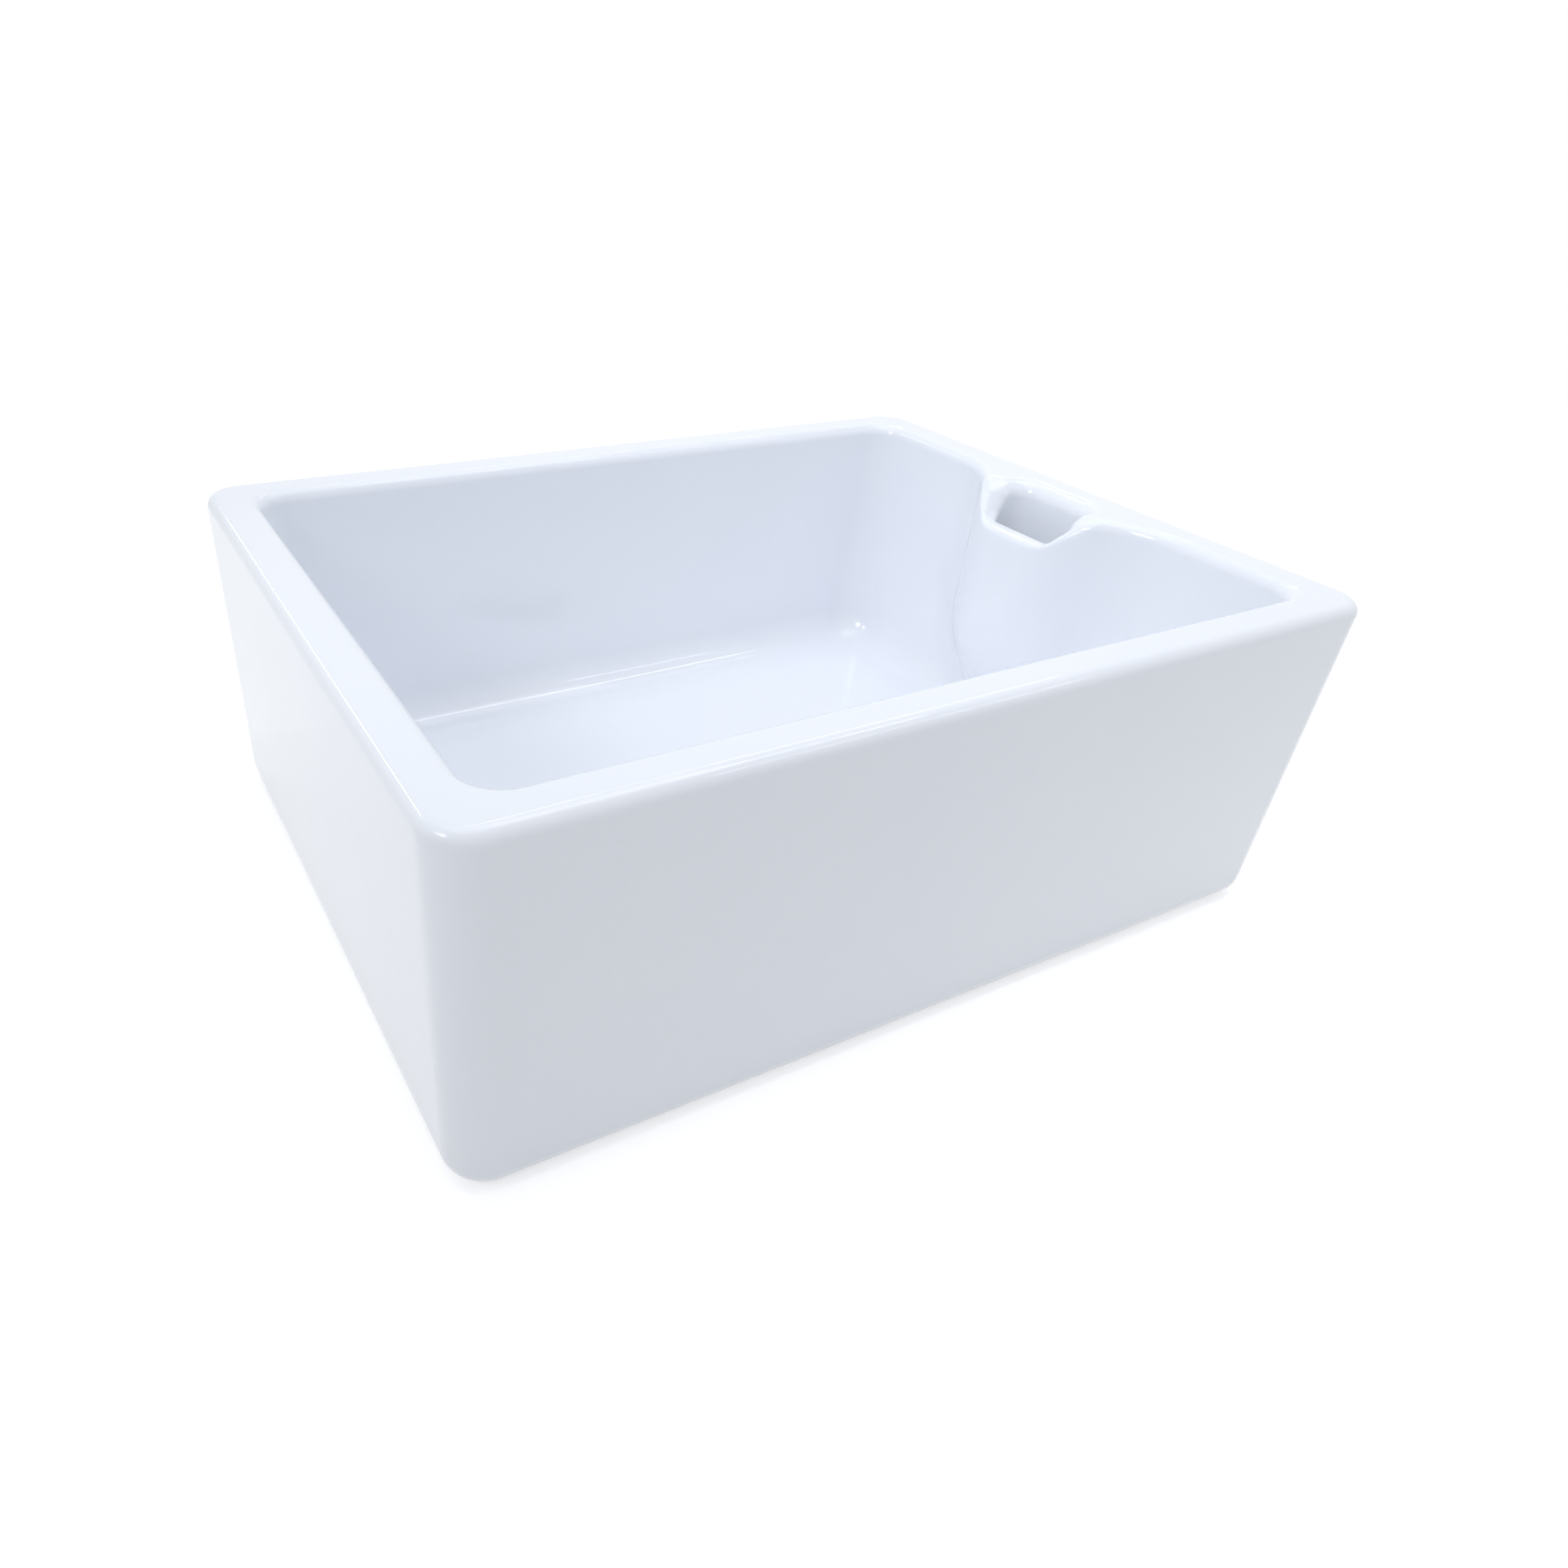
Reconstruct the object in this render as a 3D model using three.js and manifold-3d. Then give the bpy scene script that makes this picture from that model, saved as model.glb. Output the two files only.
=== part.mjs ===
// Apron front kitchen sink in glazed fireclay, with a weir overflow cast into its right-hand end wall
// and a 90 mm basket strainer waste in its floor.
//
// Millimetres, +Z up. X runs along the sink, +Y towards the wall behind it. The origin is the centre of
// the sink's flat underside, on the axis of its outlet.

import * as THREE from 'three';
import { mergeVertices } from 'three/addons/utils/BufferGeometryUtils.js';
import Module from 'manifold-3d';

// ---------------------------------------------------------------- sizes

// The casting from outside.
const sinkLength = 595;
const sinkDepth = 455;
const sinkHeight = 220;
const outerCornerRadius = 24; // upright edges
const baseEdgeRadius = 16; // edges round the underside
const rimOuterRadius = 8;

// The bowl.
const rimWidth = 30; // outer face to inner face, at the rim
const rimInnerRadius = 8;
const bowlCornerRadius = 20; // upright inner corners, at the rim
const bowlCornerGrowth = 12; // what that radius gains on the way down
const wallDraft = 3; // how far the inner faces lean in on the way down
const floorThickness = 30; // at the foot of the walls
const floorFall = 2; // from the walls down to the outlet
const floorFilletRadius = 25;

// The weir: a boss on the right-hand inner wall, with a notch in its top and a slot behind the notch.
const weirProjection = 44; // wall to face, at the rim
const weirFaceWidth = 80; // corner to corner, at the rim
const weirFlankRun = 27; // how far each flank spreads along the wall
const weirEdgeRadius = 24;
const weirRootRadius = 32;
const weirEndHeight = 125; // underside of the sink to where the boss begins to draw in
const weirEndShare = 0.85; // how fast its round lower end draws in
const weirEndFace = 0.44; // least share of the face's width left there
const sillDrop = 25; // rim to the top of the sill
const sillThickness = 15;
const sillWidth = 50; // between the notch's sides, at the sill
const notchSlope = 50; // rise of the notch's sides, in degrees
const notchFootRadius = 4;
const notchLipRadius = 16;
const slotWidth = 29; // across the wall
const slotLength = 66; // along the wall
const slotCornerRadius = 13;
const slotLipRadius = 12;
const sillLipRadius = 6; // the same lip on the side of the sill

// The slot turns into a narrow chute inside the end wall, because the boss ends above the floor.
const chuteWidth = 12;
const chuteSkin = 11; // outer face to the chute
const chuteTop = 105; // height from which the slot bends
const chuteFoot = 60;
const chuteLead = 0.3; // share of the bend over which only its inner side moves

// The overflow duct, from the foot of the chute under the floor to the outlet.
const ductWidth = 52;
const ductHeight = 9;
const ductFloor = 8; // underside to the duct
const ductCornerRadius = 3;

// The outlet.
const outletRadius = 45;
const rebateRadius = 57.5; // recess that the waste's flange drops into
const rebateDepth = 4.2;
const floorSaucer = 9; // level ring of floor round the recess
const seatRadius = 62; // ground seat in the underside, for the waste's lower seal
const seatDepth = 3;

// The waste fitting.
const fit = 0.3; // clearance between pieces that touch
const flangeClearance = 1; // flange to the wall of its recess
const sealThickness = 2;
const sealOverlap = 0.6; // seal's bore outside the outlet's wall
const sheet = 1.2; // pressed stainless steel
const overflowGap = 3.6; // ring left open between cup and outlet wall
const cupDepth = 42; // flange to the seat of the stopper
const cupBendRadius = 4;
const sumpRadius = 26; // the well below the seat
const sumpDepth = 14;
const drainHoles = 8;
const drainHoleRadius = 4.2;
const drainCircle = 16.5;
const bodyWall = 3.5; // moulded plastic
const bodyFlangeWidth = 9;
const bodyFlangeThickness = 4;
const bodySpigotRadius = 23.9; // 1 1/2 inch pipe thread, outside
const bodySpigotBore = 20;
const bodySpigotLength = 30;
const bodyConeHeight = 16;
const bodyBossRadius = 9.5;
const bodyBossLength = 24;
const ribThickness = 3;
const ribCount = 4;
const screwRadius = 4;
const screwHeadRadius = 8.5;
const screwHeadHeight = 4.5;
const screwSlotWidth = 2;
const screwSlotDepth = 2;
const insertRadius = 6.5;
const insertLength = 14;
const insertFlats = 6;

// The basket that lifts out of it.
const basketRimRadius = 38.5;
const basketFloorRadius = 32.5;
const basketHeight = 29;
const basketBendRadius = 5;
const basketRimWidth = 2.6;
const wallHoleRadius = 2.1;
const wallHoles = 16; // in a row
const wallHoleRows = [8.5, 15.5]; // heights above the basket's floor
const floorHoleRadius = 2.1;
const floorHoleRings = [{ count: 8, radius: 13.5 }, { count: 12, radius: 22.5 }];
const stopperThickness = 3.4;
const stopperOverlap = 4; // stopper beyond the edge of the well
const retainerClearance = 3; // retainer to the wall of the well
const postRadius = 3;
const postRise = 35; // basket's floor to the foot of the knob
const nutWidth = 10; // across its flats
const nutThickness = 3.5;
const knobRadius = 10;
const knobHeight = 13;
const knobWaistRadius = 5.5;

// Steps in a fillet, and sides of a round piece.
const arcSteps = 6;
const edgeSteps = 4; // in the edges of the rim and the slot
const weirEndSteps = 4; // in the height of the weir's round lower end
const bendSteps = 2; // in pressed and moulded pieces
const roundSides = 36;
const smallSides = 18;
const holeSides = 8;

// ---------------------------------------------------------------- heights and places that follow

const innerLength = sinkLength - 2 * rimWidth;
const innerDepth = sinkDepth - 2 * rimWidth;
const outletFloor = floorThickness - floorFall;
const rebateFloor = outletFloor - rebateDepth;
const sillHeight = sinkHeight - sillDrop;
const weirFaceX = innerLength / 2 - weirProjection;
const slotNearX = weirFaceX + sillThickness;
const slotFarX = slotNearX + slotWidth;
const chuteFarX = sinkLength / 2 - chuteSkin;
const chuteNearX = chuteFarX - chuteWidth;
const wallFoot = floorThickness + floorFilletRadius;

const flangeRadius = rebateRadius - flangeClearance;
const flangeUnderside = rebateFloor + sealThickness + 2 * fit;
const cupRadius = outletRadius - overflowGap; // outside of the sheet
const seatHeight = flangeUnderside - cupDepth; // top of the sheet that the stopper rests on
const sumpFloor = seatHeight - sumpDepth; // top of the sheet at the foot of the well
const lowerSealTop = seatDepth - fit;
const bodyTop = lowerSealTop - sealThickness - fit;
const bodyBore = outletRadius + sealOverlap;
const bossTop = sumpFloor - sheet - fit;
const coneTop = bossTop + bodyWall;
const coneFoot = coneTop - bodyConeHeight;
const spigotEnd = coneFoot - bodySpigotLength;

const stopperFoot = seatHeight + fit;
const stopperRadius = sumpRadius + stopperOverlap;
const basketFloor = stopperFoot + stopperThickness + fit; // underside of the basket
const retainerTop = stopperFoot - fit;
const nutTop = retainerTop - sheet - fit;
const knobFoot = basketFloor + sheet + postRise;

// ---------------------------------------------------------------- outlines

function corner(x, y, radius = 0) {
  return { point: new THREE.Vector2(x, y), radius };
}

function leftOf(direction) {
  return new THREE.Vector2(-direction.y, direction.x);
}

// The directions of the sides before and after a corner, and the turn between them.
function sidesAt(corners, index, closed) {
  const count = corners.length;
  const here = corners[index].point;
  const next = corners[(index + 1) % count].point.clone().sub(here).normalize();
  const last = here.clone().sub(corners[(index + count - 1) % count].point).normalize();
  const before = !closed && index === 0 ? next : last;
  const after = !closed && index === count - 1 ? last : next;
  return { before, after, turn: Math.atan2(before.cross(after), before.dot(after)) };
}

// Shifts every side of an outline to its left. The radius of a corner that turns left shrinks by the
// same distance, and that of one that turns right grows.
function shifted(corners, distance, closed = true) {
  const tightest = 1.5;
  return corners.map(({ point, radius }, index) => {
    const { before, after, turn } = sidesAt(corners, index, closed);
    const bisector = leftOf(before).add(leftOf(after));
    const moved = point.clone().addScaledVector(bisector, distance / (1 + before.dot(after)));
    const rounded = Math.max(radius - Math.sign(turn) * distance, tightest);
    return { point: moved, radius: radius === 0 ? 0 : rounded };
  });
}

// Draws an outline with its corners rounded. Each rounded corner has the same number of steps, so that
// outlines with the same corners can be lofted.
function traced(corners, closed = true, steps = arcSteps) {
  return corners.flatMap(({ point, radius }, index) => {
    const { before, after, turn } = sidesAt(corners, index, closed);
    if (radius === 0) return [point.clone()];
    const reach = radius * Math.tan(Math.abs(turn) / 2);
    const start = point.clone().addScaledVector(before, -reach);
    const centre = start.clone().addScaledVector(leftOf(before), Math.sign(turn) * radius);
    return Array.from({ length: steps + 1 }, (_, k) =>
      start.clone().rotateAround(centre, (turn * k) / steps));
  });
}

function rectangle(length, depth, radius) {
  const x = length / 2;
  const y = depth / 2;
  return [corner(x, -y, radius), corner(x, y, radius), corner(-x, y, radius), corner(-x, -y, radius)];
}

// The section of a bent sheet, drawn from a line along its right-hand side.
function sheetSection(line, thickness) {
  const right = traced(line, false, bendSteps);
  const left = traced(shifted(line, thickness, false), false, bendSteps);
  return [...right, ...left.reverse()];
}

function circle(radius, sides) {
  return new THREE.EllipseCurve(0, 0, radius, radius).getPoints(sides).slice(0, sides);
}

// ---------------------------------------------------------------- solids

// Skins a stack of level rings, each counter-clockwise from above and all with as many points.
function loft(rings) {
  const count = rings[0].points.length;
  const position = rings.flatMap(({ points, z }) => points.flatMap((p) => [p.x, p.y, z]));
  const faces = [];
  for (let ring = 0; ring < rings.length - 1; ring += 1) {
    for (let i = 0; i < count; i += 1) {
      const a = ring * count + i;
      const b = ring * count + ((i + 1) % count);
      faces.push(a, b, b + count, a, b + count, a + count);
    }
  }
  const top = (rings.length - 1) * count;
  for (const [a, b, c] of THREE.ShapeUtils.triangulateShape(rings[0].points, [])) faces.push(a, c, b);
  for (const [a, b, c] of THREE.ShapeUtils.triangulateShape(rings.at(-1).points, [])) {
    faces.push(top + a, top + b, top + c);
  }
  const geometry = new THREE.BufferGeometry();
  geometry.setAttribute('position', new THREE.Float32BufferAttribute(position, 3));
  geometry.setIndex(faces);
  return geometry;
}

// A quarter round as pairs of inset and rise, from upright to level.
function quarterRound(radius, steps = arcSteps) {
  return Array.from({ length: steps + 1 }, (_, k) => {
    const angle = (k / steps) * (Math.PI / 2);
    return { inset: radius * (1 - Math.cos(angle)), rise: radius * Math.sin(angle) };
  });
}

// Turns a closed section of points (radius, height), counter-clockwise, round the Z axis.
function turned(section, sides = roundSides) {
  const closed = [...section, section[0]];
  return new THREE.LatheGeometry(closed, sides).rotateX(Math.PI / 2);
}

function prism(points, height, foot) {
  const geometry = new THREE.ExtrudeGeometry(new THREE.Shape(points), { depth: height, bevelEnabled: false });
  return geometry.translate(0, 0, foot);
}

function cylinder(radius, height, foot, sides = smallSides) {
  return prism(circle(radius, sides), height, foot);
}

const wasm = await Module();
wasm.setup();

function solid(geometry) {
  const bare = geometry.clone();
  bare.deleteAttribute('normal');
  bare.deleteAttribute('uv');
  const merged = mergeVertices(bare, 1e-4);
  const corners = merged.index.array;
  const faces = [];
  for (let i = 0; i < corners.length; i += 3) {
    const [a, b, c] = corners.slice(i, i + 3);
    if (a !== b && b !== c && c !== a) faces.push(a, b, c);
  }
  const vertProperties = merged.attributes.position.array;
  const mesh = new wasm.Mesh({ numProp: 3, vertProperties, triVerts: Uint32Array.from(faces) });
  return new wasm.Manifold(mesh);
}

// One geometry from a blank, with pieces joined to it and then cut from it.
function carved(blank, { joins = [], cuts = [] }) {
  let result = solid(blank);
  for (const piece of joins) result = result.add(solid(piece));
  for (const piece of cuts) result = result.subtract(solid(piece));
  const { vertProperties, triVerts } = result.getMesh();
  const geometry = new THREE.BufferGeometry();
  geometry.setAttribute('position', new THREE.Float32BufferAttribute(vertProperties, 3));
  geometry.setIndex(Array.from(triVerts));
  geometry.computeVertexNormals();
  return geometry;
}

// Copies of a cutter spaced evenly round the Z axis.
function ringOf(geometry, count, turn = 0) {
  return Array.from({ length: count }, (_, k) =>
    geometry.clone().rotateZ(turn + (2 * Math.PI * k) / count));
}

// ---------------------------------------------------------------- the casting

function castingBlank() {
  const plan = rectangle(sinkLength, sinkDepth, outerCornerRadius);
  const ring = (inset, z) => ({ points: traced(shifted(plan, inset)), z });
  const foot = quarterRound(baseEdgeRadius).map(({ inset, rise }) => ring(inset, baseEdgeRadius - rise));
  const head = quarterRound(rimOuterRadius, edgeSteps).map(({ inset, rise }) =>
    ring(inset, sinkHeight - rimOuterRadius + rise));
  return loft([...foot.reverse(), ...head]);
}

// The weir's boss at one height. Its lower end is round, seen from the front, and falls back to the wall.
function weirSection(height) {
  const faceY = weirFaceWidth / 2;
  const rootY = faceY + weirFlankRun;
  const drop = weirEndShare * Math.max(weirEndHeight - height, 0);
  const slimmest = weirEndFace * faceY;
  const share = 1 - (drop / rootY) ** 4;
  return {
    share,
    projection: weirProjection * share,
    faceY: Math.sqrt(Math.max(faceY ** 2 - drop ** 2, slimmest ** 2)),
    rootY: Math.sqrt(rootY ** 2 - drop ** 2),
  };
}

// The bowl's plan at one height, with the weir standing in from its right-hand side.
function bowlPlan(height) {
  const depth = (sinkHeight - height) / (sinkHeight - wallFoot);
  const x = innerLength / 2 - wallDraft * depth;
  const y = innerDepth / 2 - wallDraft * depth;
  const radius = bowlCornerRadius + bowlCornerGrowth * depth;
  const { share, projection, faceY, rootY } = weirSection(height);
  const face = innerLength / 2 - projection;
  const edge = weirEdgeRadius * share;
  const root = weirRootRadius * share;
  return [
    corner(x, -y, radius),
    corner(x, -rootY, root),
    corner(face, -faceY, edge),
    corner(face, faceY, edge),
    corner(x, rootY, root),
    corner(x, y, radius),
    corner(-x, y, radius),
    corner(-x, -y, radius),
  ];
}

function bowlHollow() {
  const ring = (height, inset, z) => ({ points: traced(shifted(bowlPlan(height), inset)), z });
  const wallTop = sinkHeight - rimInnerRadius;
  const fillet = quarterRound(floorFilletRadius).map(({ inset, rise }) =>
    ring(wallFoot, inset, wallFoot - rise));
  const end = Array.from({ length: weirEndSteps }, (_, k) => {
    const height = THREE.MathUtils.lerp(wallFoot, weirEndHeight, (k + 1) / weirEndSteps);
    return ring(height, 0, height);
  });
  const lip = quarterRound(rimInnerRadius, edgeSteps).map(({ inset, rise }) =>
    ring(sinkHeight, -inset, wallTop + rise));
  const saucerRadius = rebateRadius + floorSaucer;
  const saucer = fillet.at(-1).points.map((p) => p.clone().setLength(saucerRadius));
  const above = { points: lip.at(-1).points, z: sinkHeight + rimInnerRadius };
  return loft([{ points: saucer, z: outletFloor }, ...fillet.reverse(), ...end, ...lip, above]);
}

// The notch over the sill, cut from the bowl through to the slot. Its sill is round from front to back,
// and its sides slope up to the rim and draw in where they meet the slot.
function weirNotch() {
  const lip = sinkHeight + 0.1;
  const top = sinkHeight + rimInnerRadius;
  const spread = 1 / Math.tan(THREE.MathUtils.degToRad(notchSlope));
  const section = (sill, pinch = 0) => {
    const side = sillWidth / 2 - pinch - (sillHeight - sill) * spread;
    const shoulder = side + (lip - sill) * spread;
    const wing = shoulder + notchLipRadius;
    return traced([
      corner(-side, sill, notchFootRadius),
      corner(side, sill, notchFootRadius),
      corner(shoulder, lip, notchLipRadius),
      corner(wing, lip),
      corner(wing, top),
      corner(-wing, top),
      corner(-wing, lip),
      corner(-shoulder, lip, notchLipRadius),
    ]);
  };
  const round = sillThickness / 2;
  const crest = weirFaceX + round;
  const arc = Array.from({ length: 2 * arcSteps + 1 }, (_, k) => {
    const angle = Math.PI * (1 - k / (2 * arcSteps));
    const sill = sillHeight - round + round * Math.sin(angle);
    return { z: crest + round * Math.cos(angle), points: section(sill) };
  });
  const bowlEnd = { z: weirFaceX - weirProjection, points: arc[0].points };
  const slotEnd = { z: slotNearX + slotLipRadius, points: section(sillHeight - round, slotLipRadius) };
  const acrossWall = new THREE.Matrix4().makeBasis(
    new THREE.Vector3(0, 1, 0),
    new THREE.Vector3(0, 0, 1),
    new THREE.Vector3(1, 0, 0),
  );
  return loft([bowlEnd, ...arc, slotEnd]).applyMatrix4(acrossWall);
}

// The slot behind the sill, which bends outwards into the chute inside the end wall.
function overflowSlot() {
  const roundest = 0.48; // a corner's radius as a share of the width
  const ring = (near, far, spread, z) => {
    const radius = Math.min(slotCornerRadius + spread, roundest * (far - near));
    const plan = rectangle(far - near, slotLength + 2 * spread, radius);
    const points = traced(plan).map((p) => p.add(new THREE.Vector2((near + far) / 2, 0)));
    return { points, z };
  };
  const bend = Array.from({ length: arcSteps }, (_, k) => {
    const share = k / (arcSteps - 1);
    const near = THREE.MathUtils.lerp(chuteNearX, slotNearX, THREE.MathUtils.smoothstep(share, 0, 1));
    const far = THREE.MathUtils.lerp(chuteFarX, slotFarX, THREE.MathUtils.smoothstep(share, chuteLead, 1));
    return ring(near, far, 0, THREE.MathUtils.lerp(chuteFoot, chuteTop, share));
  });
  const lip = quarterRound(1, edgeSteps).map(({ inset, rise }) => ring(
    slotNearX - inset * sillLipRadius,
    slotFarX + inset * slotLipRadius,
    inset * slotLipRadius,
    sinkHeight + (rise - 1) * slotLipRadius,
  ));
  const foot = ring(chuteNearX, chuteFarX, 0, ductFloor);
  const above = { points: lip.at(-1).points, z: sinkHeight + slotLipRadius };
  return loft([foot, ...bend, ...lip, above]);
}

function overflowDuct() {
  const section = traced(rectangle(ductHeight, ductWidth, ductCornerRadius), true, bendSteps);
  const start = outletRadius / 2;
  const end = chuteFarX - chuteWidth / 2;
  return prism(section, end - start, start)
    .rotateY(Math.PI / 2)
    .translate(0, 0, ductFloor + ductHeight / 2);
}

function sinkBody() {
  const outlet = cylinder(outletRadius, sinkHeight, -sinkHeight / 2, roundSides);
  const rebate = cylinder(rebateRadius, sinkHeight, rebateFloor, roundSides);
  const seat = cylinder(seatRadius, sinkHeight, seatDepth - sinkHeight, roundSides);
  return carved(castingBlank(), {
    cuts: [bowlHollow(), weirNotch(), overflowSlot(), overflowDuct(), outlet, rebate, seat],
  });
}

// ---------------------------------------------------------------- the waste fitting

// A flat ring of rubber, as a section of radius and height.
function sealRing(bore, radius, foot) {
  return turned([
    new THREE.Vector2(radius, foot),
    new THREE.Vector2(radius, foot + sealThickness),
    new THREE.Vector2(bore, foot + sealThickness),
    new THREE.Vector2(bore, foot),
  ]);
}

function flangeSeal() {
  return sealRing(outletRadius + sealOverlap, flangeRadius - 2 * sheet - fit, rebateFloor + fit);
}

function lowerSeal() {
  return sealRing(bodyBore, bodyBore + bodyFlangeWidth, lowerSealTop - sealThickness);
}

// The pressed cup: a flange turned down at its edge, a wall, a level seat and a well with drain holes.
function strainerCup() {
  const outside = [
    corner(screwRadius + fit, sumpFloor - sheet),
    corner(sumpRadius + sheet, sumpFloor - sheet, cupBendRadius),
    corner(sumpRadius + sheet, seatHeight - sheet, sheet),
    corner(cupRadius, seatHeight - sheet, cupBendRadius),
    corner(cupRadius, flangeUnderside, cupBendRadius),
    corner(flangeRadius - sheet, flangeUnderside, sheet),
    corner(flangeRadius - sheet, flangeUnderside - sheet),
  ];
  const hole = cylinder(drainHoleRadius, sumpDepth, sumpFloor - sumpDepth / 2, holeSides)
    .translate(drainCircle, 0, 0);
  return carved(turned(sheetSection(outside, sheet)), { cuts: ringOf(hole, drainHoles) });
}

// The moulded housing below the sink: a bowl that the cup and the overflow both drain into, a threaded
// spigot, and a boss on ribs that takes the clamping screw.
function wasteBody() {
  const flangeEdge = bodyBore + bodyFlangeWidth;
  const flangeFoot = bodyTop - bodyFlangeThickness;
  const shell = traced([
    corner(bodySpigotBore, spigotEnd),
    corner(bodySpigotRadius, spigotEnd),
    corner(bodySpigotRadius, coneFoot),
    corner(bodyBore + bodyWall, coneTop, 4),
    corner(bodyBore + bodyWall, flangeFoot, 1.5),
    corner(flangeEdge, flangeFoot),
    corner(flangeEdge, bodyTop),
    corner(bodyBore, bodyTop),
    corner(bodyBore, coneTop + bodyWall, 3),
    corner(bodySpigotBore, coneFoot + bodyWall),
  ], true, bendSteps);
  const bossFoot = bossTop - bodyBossLength;
  const boss = cylinder(bodyBossRadius, bodyBossLength, bossFoot);
  const ribReach = bodySpigotBore + bodyWall / 2;
  const rib = new THREE.BoxGeometry(ribReach, ribThickness, bodyBossLength - sheet)
    .translate(ribReach / 2, 0, (bossTop + bossFoot) / 2);
  const pocketFoot = bossTop - insertLength - 2 * fit;
  const pocket = cylinder(insertRadius + fit, insertLength + 2 * fit, pocketFoot, insertFlats);
  const screwWay = cylinder(screwRadius + fit, sinkHeight, bossTop - sinkHeight / 2);
  return carved(turned(shell), { joins: [boss, ...ringOf(rib, ribCount)], cuts: [pocket, screwWay] });
}

function screwInsert() {
  const bore = cylinder(screwRadius + fit, 2 * insertLength, bossTop - 1.5 * insertLength);
  const blank = cylinder(insertRadius, insertLength, bossTop - insertLength - fit, insertFlats);
  return carved(blank, { cuts: [bore] });
}

// A coin-slotted screw through the foot of the cup into the insert.
function clampScrew() {
  const headFoot = sumpFloor + fit;
  const headTop = headFoot + screwHeadHeight;
  const tip = bossTop - insertLength - 2 * fit;
  const section = traced([
    corner(0, tip),
    corner(screwRadius - 1, tip),
    corner(screwRadius, tip + 1),
    corner(screwRadius, headFoot),
    corner(screwHeadRadius, headFoot),
    corner(screwHeadRadius, headTop, 2),
    corner(0, headTop),
  ], true, bendSteps);
  const slot = new THREE.BoxGeometry(3 * screwHeadRadius, screwSlotWidth, 2 * screwSlotDepth)
    .translate(0, 0, headTop);
  return carved(turned(section, smallSides), { cuts: [slot] });
}

// ---------------------------------------------------------------- the basket

function basketShell() {
  const top = basketFloor + basketHeight;
  const outside = [
    corner(postRadius + fit, basketFloor),
    corner(basketFloorRadius, basketFloor, basketBendRadius),
    corner(basketRimRadius - basketRimWidth, top - sheet, 1.5),
    corner(basketRimRadius, top - sheet),
  ];
  const lean = (basketRimRadius - basketRimWidth - basketFloorRadius) / basketHeight;
  const wallHole = (height) => cylinder(wallHoleRadius, 4 * basketBendRadius, 0, holeSides)
    .rotateY(Math.PI / 2)
    .translate(basketFloorRadius + lean * height - 2 * basketBendRadius, 0, basketFloor + height);
  const pitch = (2 * Math.PI) / wallHoles;
  const wallCuts = wallHoleRows.flatMap((height, row) =>
    ringOf(wallHole(height), wallHoles, (row * pitch) / 2));
  const floorCuts = floorHoleRings.flatMap(({ count, radius }) => {
    const hole = cylinder(floorHoleRadius, 4 * sheet, basketFloor - 2 * sheet, holeSides);
    return ringOf(hole.translate(radius, 0, 0), count);
  });
  return carved(turned(sheetSection(outside, sheet)), { cuts: [...wallCuts, ...floorCuts] });
}

function basketStopper() {
  const top = stopperFoot + stopperThickness;
  const lip = stopperThickness / 3;
  return turned(traced([
    corner(postRadius + fit, stopperFoot),
    corner(stopperRadius - lip, stopperFoot),
    corner(stopperRadius, stopperFoot + lip, 0.5),
    corner(stopperRadius, top, 0.5),
    corner(postRadius + fit, top),
  ], true, 2));
}

function stopperRetainer() {
  const radius = sumpRadius - retainerClearance;
  return turned(traced([
    corner(postRadius + fit, retainerTop - sheet),
    corner(radius, retainerTop - sheet, 0.5),
    corner(radius, retainerTop, 0.5),
    corner(postRadius + fit, retainerTop),
  ], true, 2));
}

function postNut() {
  const blank = cylinder(nutWidth / Math.sqrt(3), nutThickness, nutTop - nutThickness, 6);
  const bore = cylinder(postRadius + fit, 3 * nutThickness, nutTop - 2 * nutThickness);
  return carved(blank, { cuts: [bore] });
}

// A plain pin through the basket, the stopper, the retainer and the nut.
function basketPost() {
  return cylinder(postRadius, knobFoot - fit - (nutTop - nutThickness), nutTop - nutThickness);
}

function basketKnob() {
  const top = knobFoot + knobHeight;
  return turned(traced([
    corner(0, knobFoot),
    corner(knobWaistRadius + 1.5, knobFoot, 0.8),
    corner(knobWaistRadius, knobFoot + knobHeight / 3, 4),
    corner(knobRadius, knobFoot + knobHeight * 0.62, 2),
    corner(knobRadius, top, 4),
    corner(0, top),
  ], true, bendSteps), smallSides);
}

// ---------------------------------------------------------------- materials and assembly

const finishes = {
  fireclay: { color: 0xe9ebf4, roughness: 0.12, metalness: 0 },
  steel: { color: 0xc8cacc, roughness: 0.25, metalness: 1 },
  brass: { color: 0xc2a05a, roughness: 0.35, metalness: 1 },
  rubber: { color: 0x1c1c1e, roughness: 0.75, metalness: 0 },
  plastic: { color: 0xe4e4e0, roughness: 0.45, metalness: 0 },
};

function piece(name, finish, geometry) {
  const mesh = new THREE.Mesh(geometry, new THREE.MeshStandardMaterial(finishes[finish]));
  mesh.name = name;
  return mesh;
}

const waste = new THREE.Group();
waste.add(
  piece('flange_seal', 'rubber', flangeSeal()),
  piece('strainer_cup', 'steel', strainerCup()),
  piece('lower_seal', 'rubber', lowerSeal()),
  piece('waste_body', 'plastic', wasteBody()),
  piece('screw_insert', 'brass', screwInsert()),
  piece('clamp_screw', 'steel', clampScrew()),
);

const basket = new THREE.Group();
basket.add(
  piece('basket_shell', 'steel', basketShell()),
  piece('basket_stopper', 'rubber', basketStopper()),
  piece('stopper_retainer', 'steel', stopperRetainer()),
  piece('post_nut', 'steel', postNut()),
  piece('basket_post', 'steel', basketPost()),
  piece('basket_knob', 'steel', basketKnob()),
);

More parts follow.
